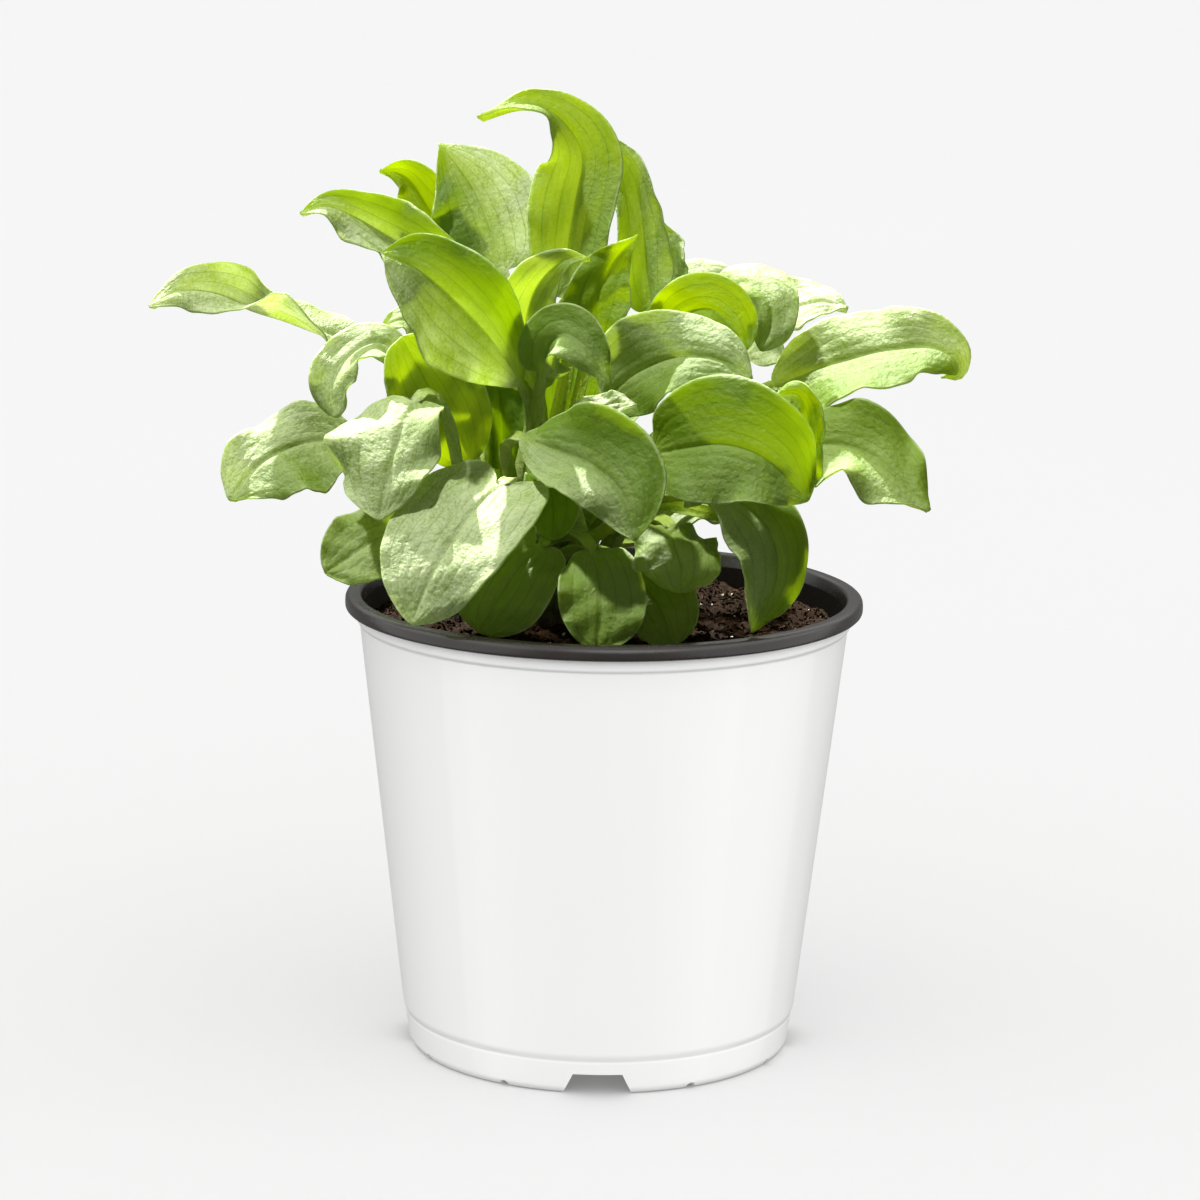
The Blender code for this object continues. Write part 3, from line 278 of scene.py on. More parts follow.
      [(1, -10, 1), (0, -10, 1), (0, -10, 3)], 17, (25, 20), (25, 20), full=1.2, wave=0.8, bloom=0.0),
    "inner_back": row("middle", 76, [(-15, 22, 196), (-12, 26, 214), (-9, 28, 230), (-7, 28, 246)],
      [(0, -10, 1), (0, -10, 1), (0, -10, 3)], 30, (20, 15), (20, 15), full=1.1, bloom=0.0),
    "back_spread": row("outer", 118, [(-40, 48, 214), (-45, 56, 226), (-51, 63, 234), (-60, 69, 236)],
      [(0, 3, 10), (-2, 5, 9), (-4, 7, 6)], 31, (15, 10), (15, 10), full=1.2, wave=1.6),
    "back_low_left": row("outer", 136, [(-52, 30, 184), (-62, 40, 190), (-74, 50, 188), (-84, 58, 178)],
      [(-1, -3, 10), (-3, 4, 9), (-6, 5, 6)], 30, (10, 5), (10, 5), full=1.3, wave=1.6),
    "back_low_right": row("outer", 24, [(14, 20, 162), (26, 28, 171), (40, 36, 172), (52, 43, 163)],
      [(0, -6, 8), (0, -4, 9), (3, -2, 9)], 27, (10, 5), (10, 5), full=1.3, wave=1.5, tone=0.5),
    "back_fall": row("outer", 97, [(-16, 44, 196), (-12, 56, 202), (-6, 66, 198), (0, 72, 186)],
      [(0, 3, 10), (0, 6, 8), (2, 9, 3)], 33, (10, 5), (10, 5), full=1.25, lobe=5, wave=1.5),
}


def curve_points(points, count):
    """Points evenly spaced along a smooth curve through the given points."""
    knots = np.array(points, float)
    padded = np.vstack([2 * knots[0] - knots[1], knots, 2 * knots[-1] - knots[-2]])
    dense = []
    for i in range(1, len(padded) - 2):
        p0, p1, p2, p3 = padded[i - 1:i + 3]
        for t in np.linspace(0, 1, 24, endpoint=False):
            dense.append(0.5 * (2 * p1 + (p2 - p0) * t + (2 * p0 - 5 * p1 + 4 * p2 - p3) * t ** 2
                                + (3 * p1 - p0 - 3 * p2 + p3) * t ** 3))
    dense.append(padded[-2])
    return resample(np.array(dense), count)


def resample(path, count, bias=1.0):
    """The same path with points at even spacing, or crowded toward its start when bias > 1."""
    run = np.concatenate([[0], np.cumsum(np.linalg.norm(np.diff(path, axis=0), axis=1))])
    wanted = run[-1] * np.linspace(0, 1, count) ** bias
    return np.stack([np.interp(wanted, run, path[:, k]) for k in range(3)], 1)


def unit(v):
    """Rows scaled to length one."""
    return v / np.maximum(np.linalg.norm(v, axis=-1, keepdims=True), 1e-9)


def stalk_path(root, foot, foot_direction, count):
    """A stalk that leaves the crown steeply and meets the blade in the blade's own direction."""
    root, foot = np.array(root, float), np.array(foot, float)
    reach = np.linalg.norm(foot - root)
    out = foot - root
    out[2] = 0
    first = root + np.array([0, 0, 0.42 * reach]) + 0.12 * out
    second = foot - 0.34 * reach * foot_direction
    t = np.linspace(0, 1, 60)[:, None]
    path = ((1 - t) ** 3 * root + 3 * (1 - t) ** 2 * t * first + 3 * (1 - t) * t ** 2 * second
            + t ** 3 * foot)
    return resample(path, count)


def blade_outline(u, full, base):
    """Half width along the blade as a share of its widest, with a drawn-out tip."""
    point = 1.12 / full
    peak = base / (base + point)
    return (u / peak) ** base * ((1 - u) / (1 - peak)) ** point


def root_point(ring, bearing):
    """Where a stalk stands on the crown."""
    radius, height = CROWN_RINGS[ring]
    turn = math.radians(bearing)
    return (CROWN_CENTRE[0] + radius * math.cos(turn), CROWN_CENTRE[1] + radius * math.sin(turn),
            height)


def rising_arc(t, left, right):
    """Points t (-1..1) on two arcs that rise from the midrib: across, up, and how far each leans."""
    start = np.radians(np.where(t < 0, left[0], right[0]))
    bend = np.radians(np.where(t < 0, left[1] - left[0], right[1] - right[0])) + 1e-6
    reach = np.abs(t)
    out = (np.sin(start + bend * reach) - np.sin(start)) / bend
    lift = (np.cos(start) - np.cos(start + bend * reach)) / bend
    lean = (start + bend * reach) * np.sign(t)
    return np.copysign(out, t), lift, lean


def between(pair, share):
    """A value at a share of the way along the blade: one setting, or one for foot and one for tip."""
    ends = np.array(pair, float)
    if ends.ndim == 1:
        return ends
    return ends[0] * (1 - share) + ends[1] * share


def half_widths(leaf):
    """How far the left and the right margin stand from the midrib at the widest place."""
    width = leaf["width"]
    return width if isinstance(width, tuple) else (0.5 * width, 0.5 * width)


def leaf_sections(leaf, stalk_steps, blade_steps, across, relief):
    """Cross-sections of one leaf from the crown to the tip.

    Returns the points of the upper and of the lower face, and the share of the blade's length
    (0 to 1, or -1 on the stalk) and half the width at each section.
    """
    rib = curve_points(leaf["rib"], 80)
    root = np.array(root_point(leaf["ring"], leaf["bearing"]))
    stalk = stalk_path(root, rib[0], unit(rib[4] - rib[0]), stalk_steps + 1)
    blade = resample(rib, blade_steps + 1, 1.15)
    line = np.vstack([stalk[:-1], blade])
    tangent = unit(np.gradient(line, axis=0))
    along = np.linspace(0, 1, blade_steps + 1) ** 1.15
    share = np.concatenate([np.full(stalk_steps, -1.0), along])
    faces = unit(np.array(leaf["face"], float))
    inward = np.array([CROWN_CENTRE[0] - root[0], CROWN_CENTRE[1] - root[1], 0.0])
    if np.linalg.norm(inward) < 1:
        inward = faces[0] * [1, 1, 0]
    turn = np.linspace(0, 1, stalk_steps, endpoint=False)[:, None]
    stalk_face = unit(inward) * (1 - turn) + faces[0] * turn
    stops = np.linspace(0, 1, len(faces))
    blade_face = np.stack([np.interp(along, stops, faces[:, k]) for k in range(3)], 1)
    face = np.vstack([stalk_face, blade_face])
    normal = unit(face - tangent * np.sum(face * tangent, 1)[:, None])
    side = np.cross(tangent, normal)
    t = np.linspace(-1, 1, across + 1)
    left_half, right_half = half_widths(leaf)
    top, bottom, halves = [], [], []
    for i in range(len(line)):
        if share[i] < 0:
            spread, back = 0.0, 0.0
            half = STALK_HALF * (1.15 - 0.3 * i / stalk_steps)
            sides = np.array([half, half])
        else:
            spread = blade_outline(share[i], leaf["full"], leaf["base"])
            sides = np.maximum(np.array([left_half, right_half]) * spread,
                               max(STALK_HALF * 0.85 * (1 - 3 * share[i]), 0.4))
            back = leaf["lobe"] * (share[i] / 0.12) * math.exp(1 - share[i] / 0.12)
        half = np.where(t < 0, sides[0], sides[1])
        spread = min(1.0, spread)
        out, lift, lean = rising_arc(t, spread * between(leaf["left"], max(share[i], 0)),
                                     spread * between(leaf["right"], max(share[i], 0)))
        if spread < 0.3:
            lift = lift + (1 - spread / 0.3) * 0.45 * t ** 2
        offset = np.zeros_like(t)
        if share[i] > 0:
            start = math.radians(7 * leaf["bearing"]) + 2.0 * np.sign(t)
            ripple = np.sin(leaf["ripples"] * math.tau * share[i] + start)
            offset = RIPPLE_DEPTH * leaf["wave"] * ripple * t ** 2 * spread
        core = BLADE_RIB * spread + STALK_DEPTH * (1 - spread)
        thick = BLADE_EDGE + (core - BLADE_EDGE) * (1 - np.abs(t)) ** (0.8 + 2 * spread)
        if i == len(line) - 1:
            thick = np.full_like(t, BLADE_EDGE)
        offset = offset + relief(share[i], t, half)
        up = np.outer(np.cos(lean), normal[i]) - np.outer(np.sin(lean), side[i])
        point = (line[i] + np.outer(out * half, side[i]) + np.outer(lift * half, normal[i])
                 + up * offset[:, None]
                 - np.outer(back * np.abs(t) ** 1.6, tangent[i]))
        over = point + 0.25 * thick[:, None] * up
        under = point - 0.75 * thick[:, None] * up
        if i == 0:                                   # the foot is cut level
            over[:, 2] = root[2]
            under[:, 2] = root[2]
        top.append(over)
        bottom.append(under)
        halves.append(0.5 * (sides[0] + sides[1]))
    return np.array(top), np.array(bottom), share, np.array(halves)


def circle(radius, count, centre=(0.0, 0.0)):
    """Points round a circle."""
    return [(centre[0] + radius * math.cos(2 * math.pi * i / count),
             centre[1] + radius * math.sin(2 * math.pi * i / count)) for i in range(count)]


def gather(pieces):
    """Several point-and-face sets joined into one."""
    verts, faces = [], []
    for piece_verts, piece_faces in pieces:
        base = len(verts)
        verts += list(piece_verts)
        faces += [tuple(base + i for i in f) for f in piece_faces]
    return verts, faces


def stacked_faces(loops, n):
    """Faces of loops of n points stacked one on another, both ends closed."""
    faces = [tuple(range(n))[::-1], tuple(range((loops - 1) * n, loops * n))]
    for i in range(loops - 1):
        for j in range(n):
            a, b = i * n + j, i * n + (j + 1) % n
            faces.append((a, b, b + n, a + n))
    return faces


def prism(outline, inner, outer, turn):
    """A radial prism: an outline of (sideways, height) points carried from one radius to another."""
    cos, sin = math.cos(turn), math.sin(turn)
    verts = []
    for radius in (inner, outer):
        for sideways, height in outline:
            verts.append((radius * cos - sideways * sin, radius * sin + sideways * cos, height))
    return verts, stacked_faces(2, len(outline))


def make_outward(obj):
    """Turn every face of a mesh to look out of its solid."""
    bm = bmesh.new()
    bm.from_mesh(obj.data)
    bmesh.ops.recalc_face_normals(bm, faces=bm.faces)
    bm.to_mesh(obj.data)
    bm.free()


def pot_cutters():
    """The notches and small arches through the foot ring, and the drain holes in the floor."""
    half_top, half_foot = 0.5 * NOTCH_TOP_WIDTH, 0.5 * NOTCH_FOOT_WIDTH
    slope = (half_foot - half_top) / NOTCH_HEIGHT
    outline = [(-half_foot - slope, -1.0), (half_foot + slope, -1.0), (half_top, NOTCH_HEIGHT),
               (-half_top, NOTCH_HEIGHT)]
    arch = circle(ARCH_RADIUS, 12)
    pieces = []
    for bearing in NOTCH_BEARINGS:
        pieces.append(prism(outline, FOOT_RADIUS - 8, FOOT_RADIUS + 6, math.radians(bearing)))
        for sign in (-1, 1):
            turn = math.radians(bearing + sign * ARCH_OFFSET)
            pieces.append(prism(arch, FOOT_RADIUS - 8, FOOT_RADIUS + 6, turn))
    for i in range(DRAIN_COUNT):
        turn = math.tau * (i + 0.5) / DRAIN_COUNT
        place = (DRAIN_CIRCLE * math.cos(turn), DRAIN_CIRCLE * math.sin(turn))
        ring = circle(DRAIN_RADIUS, DRAIN_SIDES, place)
        verts = [(x, y, z) for z in (FLOOR_UNDERSIDE - 1, FLOOR_TOP + 1) for x, y in ring]
        pieces.append((verts, stacked_faces(2, DRAIN_SIDES)))
    return pieces


def inner_radius(height):
    """Inside radius of the pot's wall at a height."""
    share = (height - FOOT_HEIGHT) / (POT_HEIGHT - LIP_HEIGHT - FOOT_HEIGHT)
    return BODY_FOOT_RADIUS + share * (BODY_TOP_RADIUS - BODY_FOOT_RADIUS) - WALL


# ---------------------------------------------------------------- placing things
def new_object(name, verts, faces, mats=(), smooth=True):
    """A mesh object from points in millimetres about the pot's axis, set in the row frame."""
    mesh = bpy.data.meshes.new(name)
    points = np.array(verts, float)
    points[:, 0] += PLANT_SHIFT[0]
    points[:, 1] += PLANT_SHIFT[1]
    mesh.from_pydata((points * MM).tolist(), [], [tuple(f) for f in faces])
    mesh.update()
    mesh.polygons.foreach_set("use_smooth", [smooth] * len(mesh.polygons))
    for mat in mats:
        mesh.materials.append(mat)
    obj = bpy.data.objects.new(name, mesh)
    bpy.context.scene.collection.objects.link(obj)
    return obj


def paint(obj, name, values, kind="FLOAT", field="value"):
    """Store a number, or a vector, at each vertex."""
    layer = obj.data.attributes.new(name, kind, "POINT")
    layer.data.foreach_set(field, np.asarray(values, np.float32).ravel())


def part_of_plant(obj, slot, *nodes):
    """The piece rides on the plant's one body and takes the place of the named CAD nodes."""
    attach(obj, "root")
    if nodes:
        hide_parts(*nodes)


# ---------------------------------------------------------------- materials
class Shader:
    """Short hand for building one node material."""

    def __init__(self, name):
        self.mat = bpy.data.materials.new(name)
        self.mat.use_nodes = True
        self.tree = self.mat.node_tree
        self.tree.nodes.clear()
        self.output = self.tree.nodes.new("ShaderNodeOutputMaterial")

    def add(self, kind, links=None, values=None, **settings):
        """Add a node; links and values are keyed by the socket's name or number."""
        made = self.tree.nodes.new("ShaderNode" + kind)
        for key, value in settings.items():
            setattr(made, key, value)
        for key, value in (values or {}).items():
            made.inputs[key].default_value = value
        for key, source in (links or {}).items():
            self.tree.links.new(source, made.inputs[key])
        return made

    def attribute(self, name):
        """A number painted on the mesh."""
        return self.add("Attribute", attribute_name=name).outputs["Fac"]

    def place(self, name):
        """A vector painted on the mesh."""
        return self.add("Attribute", attribute_name=name).outputs["Vector"]

    def object_place(self):
        """Position in the object's own space."""
        return self.add("TexCoord").outputs["Object"]

    def noise(self, where, scale, detail=3.0, roughness=0.5):
        """Soft noise between 0 and 1."""
        values = {"Scale": scale, "Detail": detail, "Roughness": roughness}
        return self.add("TexNoise", {"Vector": where}, values).outputs["Fac"]

    def stretch(self, where, scale):
        """The same place, scaled differently along each axis."""
        return self.add("Mapping", {"Vector": where}, {"Scale": scale}).outputs["Vector"]

    def ramp(self, source, stops):
        """A colour or grey from a number; stops are (position, colour)."""
        made = self.add("ValToRGB", {"Fac": source})
        while len(made.color_ramp.elements) < len(stops):
            made.color_ramp.elements.new(0.5)
        for element, (position, colour) in zip(made.color_ramp.elements, stops):
            element.position = position
            grey = isinstance(colour, (int, float))
            element.color = (colour, colour, colour, 1) if grey else (*colour, 1)
        return made.outputs["Color"]

    def mix(self, factor, first, second):
        """Mix two colours; a colour may be a socket or three numbers."""
        made = self.add("Mix", data_type="RGBA")
        self.feed(made.inputs[0], factor)
        self.feed(made.inputs[6], first)
        self.feed(made.inputs[7], second)
        return made.outputs[2]

    def feed(self, socket, value):
        """Link a socket, or set a number or colour."""
        if isinstance(value, bpy.types.NodeSocket):
            self.tree.links.new(value, socket)
        elif isinstance(value, (tuple, list)):
            socket.default_value = (*value, 1) if len(value) == 3 else value
        else:
            socket.default_value = value

    def math(self, operation, first, second):
        """One step of arithmetic."""
        made = self.add("Math", operation=operation)
        self.feed(made.inputs[0], first)
        self.feed(made.inputs[1], second)
        return made.outputs[0]

    def scaled(self, source, gain, base=0.0):
        """A number times a gain, plus a base."""
        made = self.math("MULTIPLY", source, gain)
        return self.math("ADD", made, base) if base else made

    def bump(self, height, strength, distance):
        """Fine relief from a number."""
        made = self.add("Bump", {"Height": height}, {"Strength": strength, "Distance": distance})
        return made.outputs[0]

    def principled(self, **sockets):
        """The main surface; keys are socket names with spaces as underscores."""
        made = self.add("BsdfPrincipled")
        for key, value in sockets.items():
            self.feed(made.inputs[key.replace("_", " ")], value)
        return made.outputs[0]

    def finish(self, surface):
        """Send the surface to the output."""
        self.tree.links.new(surface, self.output.inputs["Surface"])
        return self.mat


def leaf_material():
    """Living leaf: pale wax with painted sheen, tone with painted shade and light, sunken veins, pale
    margin, and light that glows through.
    """
    s = Shader("leaf_green")
    names = ("vein", "edge", "along", "tone", "bloom")
    vein, edge, along, tone, bloom = (s.attribute(n) for n in names)
    place = s.place("leaf_place")
    broad = s.noise(place, 0.06, 2.0)
    streak = s.noise(s.stretch(place, (1.0, 0.10, 1.0)), 1.1, 3.0, 0.6)
    grain = s.noise(place, 1.2, 4.0, 0.75)
    patch = s.noise(s.stretch(place, (1.0, 0.5, 1.0)), 0.16, 3.0, 0.6)
    # Tone: partly the leaf's age, partly painted shade and light, with a broad random drift.
    age_and_light = s.math("ADD", s.scaled(tone, 0.75), s.scaled(broad, 0.30))
    green = s.mix(age_and_light, LEAF_DEEP, LEAF_LIME)
    green = s.mix(s.scaled(streak, 0.30), green, LEAF_STREAK)
    speck = s.ramp(s.math("ADD", s.scaled(grain, 0.8), s.scaled(patch, 0.5)),
                   [(0.46, 0.12), (0.72, 1.0)])
    # Painted sheen: where the pale-wax value is high, the colour is mixed towards pale whitish green
    # whatever light falls there.
    wax_sheen_mask = s.math("MULTIPLY", speck, bloom)
    green = s.mix(wax_sheen_mask, green, LEAF_WAX_SHEEN)
    line = s.ramp(vein, [(0.0, 1.0), (0.14, 0.0)])
    green = s.mix(s.scaled(line, 0.35), green, LEAF_VEIN)
    stalk = s.ramp(along, [(0.0, 1.0), (0.30, 0.0)])
    green = s.mix(s.scaled(stalk, 0.55), green, LEAF_STALK)
    rim = s.ramp(edge, [(0.94, 0.0), (0.98, 1.0)])
    green = s.mix(s.scaled(rim, 0.8), green, LEAF_MARGIN)
    # The light through the leaf is painted whitish under the same painted sheen.
    glow = s.mix(wax_sheen_mask, s.mix(age_and_light, GLOW_DEEP, GLOW_LIME), GLOW_WAX_SHEEN)
    glow = s.mix(s.scaled(line, 0.5), glow, GLOW_VEIN)
    glow = s.mix(s.math("MULTIPLY", s.ramp(streak, [(0.35, 0.0), (0.75, 1.0)]), 0.25), glow, GLOW_VEIN)
    wax = s.ramp(grain, [(0.35, 0.0), (0.70, 1.0)])
    rough = s.scaled(wax, 0.14, 0.44)
    pucker = s.noise(place, 0.55, 2.0, 0.5)
    height = s.math("ADD", s.scaled(pucker, 1.5), s.scaled(grain, 0.7))
    relief = s.bump(height, 1.0, 0.00042)
    film = s.math("MULTIPLY", s.scaled(wax, 0.7, 0.2), s.scaled(bloom, 0.7, 0.15))
    face = s.principled(Base_Color=green, Roughness=rough, Specular_IOR_Level=0.4, Coat_Weight=film,
                        Coat_Roughness=0.55, Coat_IOR=1.5, Normal=relief, Coat_Normal=relief)
    through = s.add("BsdfTranslucent", {"Color": glow}).outputs[0]
    share = s.math("SUBTRACT", LEAF_THROUGH, s.scaled(stalk, 0.30))
    made = s.add("MixShader", {"Fac": share, 1: face, 2: through})
    return s.finish(made.outputs[0])


def plastic_white():
    """Satin moulded plastic, nearly white, with faint flow marks."""
    s = Shader("pot_white")
    place = s.object_place()
    cloud = s.noise(place, 14.0, 3.0)
    flow = s.noise(s.stretch(place, (1.0, 1.0, 0.08)), 160.0, 2.0)
    colour = s.mix(s.scaled(cloud, 0.5), POT_WHITE, POT_SHADE)
    rough = s.scaled(flow, 0.10, 0.34)
    relief = s.bump(s.math("ADD", flow, s.noise(place, 900.0, 2.0)), 0.25, 0.00005)
    return s.finish(s.principled(Base_Color=colour, Roughness=rough, Specular_IOR_Level=0.45,
                                 Normal=relief))


def plastic_dark(name, deep, light, shine):
    """The dark inner layer of the pot that rolls over the rim."""
    s = Shader(name)
    place = s.object_place()
    cloud = s.noise(place, 60.0, 4.0, 0.6)
    grit = s.noise(place, 1200.0, 2.0)
    colour = s.mix(cloud, deep, light)
    rough = s.math("ADD", s.scaled(cloud, 0.14), 0.70 - shine)
    relief = s.bump(s.math("ADD", grit, cloud), 0.4, 0.00008)
    return s.finish(s.principled(Base_Color=colour, Roughness=rough, Specular_IOR_Level=shine,
                                 Normal=relief))


def soil_material():
    """Damp peat with lighter bark fibres."""
    s = Shader("soil_peat")
    place = s.object_place()
    tone = s.attribute("tone")
    crumbs = s.noise(place, 700.0, 5.0, 0.7)
    patches = s.noise(place, 90.0, 3.0)
    colour = s.ramp(crumbs, [(0.30, SOIL_BLACK), (0.55, SOIL_BROWN), (0.78, SOIL_FIBRE)])
    colour = s.mix(s.scaled(patches, 0.6), colour, SOIL_BLACK)
    colour = s.mix(s.scaled(tone, 0.8), colour, SOIL_CHIP)
    relief = s.bump(crumbs, 0.9, 0.0006)
    return s.finish(s.principled(Base_Color=colour, Roughness=0.9, Specular_IOR_Level=0.04,
                                 Normal=relief))


def perlite_material():
    """Small white mineral grains in the mix."""
    s = Shader("soil_grains")
    grain = s.noise(s.object_place(), 1500.0, 3.0)
    colour = s.mix(grain, PERLITE_GREY, PERLITE_WHITE)
    return s.finish(s.principled(Base_Color=colour, Roughness=0.75, Normal=s.bump(grain, 0.6, 0.0002)))


def crown_material():
    """Fibrous rootstock: brown below, green-white where the shoots start."""
    s = Shader("crown_fibre")
    place = s.object_place()
    fibre = s.noise(s.stretch(place, (1.0, 1.0, 0.15)), 500.0, 4.0, 0.65)
    colour = s.ramp(fibre, [(0.25, ROOT_DARK), (0.55, ROOT_BROWN), (0.80, ROOT_PALE)])
    fresh = s.ramp(s.attribute("fresh"), [(0.35, 0.0), (0.95, 1.0)])
    colour = s.mix(fresh, colour, ROOT_FRESH)
    return s.finish(s.principled(Base_Color=colour, Roughness=0.72, Normal=s.bump(fibre, 0.8, 0.0005)))


def floor_material():
    """Plain pale studio floor."""
    s = Shader("studio_floor")
    cloud = s.noise(s.object_place(), 1.2, 2.0)
    colour = s.mix(cloud, FLOOR_A, FLOOR_B)
    return s.finish(s.principled(Base_Color=colour, Roughness=0.8, Specular_IOR_Level=0.1))


# ---------------------------------------------------------------- leaves
VEIN_SPACING = 4.4             # mm between side veins where the blade is widest
VEIN_DEPTH = 0.15
LEAF_BLADE_STEPS = 64
LEAF_STALK_STEPS = 16
POINTS_PER_VEIN = 6


def vein_count(leaf):
    """Side veins on each half of the blade."""
    return max(2, round(0.5 * sum(half_widths(leaf)) / VEIN_SPACING))


def leaf_relief(leaf, phase):
    """Quilting of the blade between its veins, and slow waves across it."""
    veins = vein_count(leaf)

    def relief(share, t, half):
        if share < 0:
            return np.zeros_like(t)
        grow = np.minimum(1.0, half / 5.0) * min(1.0, share * 12 + 0.1)
        swell = np.abs(np.sin(math.pi * veins * np.abs(t))) ** 0.7
        quilt = VEIN_DEPTH * (swell - 0.6) * (1 - 0.5 * np.abs(t) ** 4)
        groove = -0.55 * np.exp(-(t * half / 0.9) ** 2)
        slow = 0.8 * np.sin(share * 9 + 3.1 * t + phase) + 0.45 * np.sin(share * 21 - 5 * t + 2 * phase)
        buckle = 0.9 * np.sin(share * 17 + 4.3 * phase + 1.7 * np.sign(t)) * np.abs(t) ** 3
        frill = buckle + 0.3 * np.sin(share * 46 + phase * 3 + 2 * np.sign(t)) * np.abs(t) ** 6
        return grow * (quilt + groove + slow * (0.3 + 0.7 * np.abs(t)) + frill)

    return relief


def build_leaf(name, leaf, index, mat):
    """One leaf as a closed thin solid with painted vein, margin and length values."""
    veins = vein_count(leaf)
    across = 2 * veins * POINTS_PER_VEIN
    top, bottom, share, half = leaf_sections(leaf, LEAF_STALK_STEPS, LEAF_BLADE_STEPS, across,
                                             leaf_relief(leaf, index * 1.7))
    rings, n = len(top), across + 1
    verts = np.vstack([top.reshape(-1, 3), bottom.reshape(-1, 3)])
    faces = []
    for a in range(0, (rings - 1) * n, n):
        b, c, d = a + n, a + rings * n, a + rings * n + n
        faces += [(a + j, a + j + 1, b + j + 1, b + j) for j in range(across)]
        faces += [(c + j, d + j, d + j + 1, c + j + 1) for j in range(across)]
        faces += [(a, b, d, c), (a + across, c + across, d + across, b + across)]
    last, under = (rings - 1) * n, rings * n
    for j in range(across):
        faces.append((j, under + j, under + j + 1, j + 1))
        faces.append((last + j, last + j + 1, under + last + j + 1, under + last + j))
    obj = new_object("green_" + name, verts, faces, [mat])
    t = np.linspace(-1, 1, n)
    blade = np.clip(share, 0, 1)
    spacing = np.abs(((np.abs(t) * veins + 0.5) % 1) - 0.5) * 2
    vein = np.tile(spacing, rings)
    vein[np.repeat(share < 0, n)] = 1.0
    run = np.concatenate([[0], np.cumsum(np.linalg.norm(np.diff(top[:, n // 2], axis=0), axis=1))])
    place = np.stack([np.outer(half, t).ravel(), np.repeat(run, n),
                      np.full(rings * n, index * 37.0)], 1)
    along = np.where(share < 0, 0.0, 0.15 + 0.85 * blade)
    # Pale wax and painted sheen across the blade: one value for the left half and one for the right, so
    # one half can be painted paler.
    wax = np.interp(t, (-0.6, 0.6), np.broadcast_to(leaf["bloom"], 2))
    # Each leaf's tone is partly its age and partly painted shade and light for where it sits.
    tone = leaf.get("tone", 0.45 + 0.2 * math.sin(index * 2.1))
    edge = np.tile(np.abs(t), rings) * np.repeat(share > 0, n)
    for key, row_values in (("vein", vein), ("edge", edge), ("along", np.repeat(along, n)),
                            ("bloom", np.tile(wax, rings)), ("tone", np.full(rings * n, tone))):
        paint(obj, key, np.tile(row_values, 2))
    paint(obj, "leaf_place", np.vstack([place, place]), "FLOAT_VECTOR", "vector")
    part_of_plant(obj, "leaf", name)


# ---------------------------------------------------------------- the pot
POT_TURNS = 192


def lathe_mesh(profile, colours, turns):
    """Points, faces and face materials of a closed profile turned about the pot's axis."""
    n = len(profile)
    verts = [(r * math.cos(a), r * math.sin(a), z)
             for a in np.arange(turns) * math.tau / turns for r, z in profile]
    faces = []
    for i in range(turns):
        a, b = i * n, ((i + 1) % turns) * n
        faces += [(a + j, a + (j + 1) % n, b + (j + 1) % n, b + j) for j in range(n)]
    return verts, faces, list(colours) * turns


def rounded(points, radius, steps=4):
    """A profile with each marked corner rounded: points are (r, z, share of the radius)."""
    out = []
    n = len(points)
    for i, (x, z, soft) in enumerate(points):
        here = np.array([x, z])
        if soft <= 0:
            out.append((x, z))
            continue
        before = np.array(points[i - 1][:2]) - here
        after = np.array(points[(i + 1) % n][:2]) - here
        reach = min(radius * soft, 0.45 * np.linalg.norm(before), 0.45 * np.linalg.norm(after))
        start = here + before / np.linalg.norm(before) * reach
        end = here + after / np.linalg.norm(after) * reach
        for k in range(steps + 1):
            q = k / steps
            out.append(tuple((1 - q) ** 2 * start + 2 * (1 - q) * q * here + q * q * end))
    return out


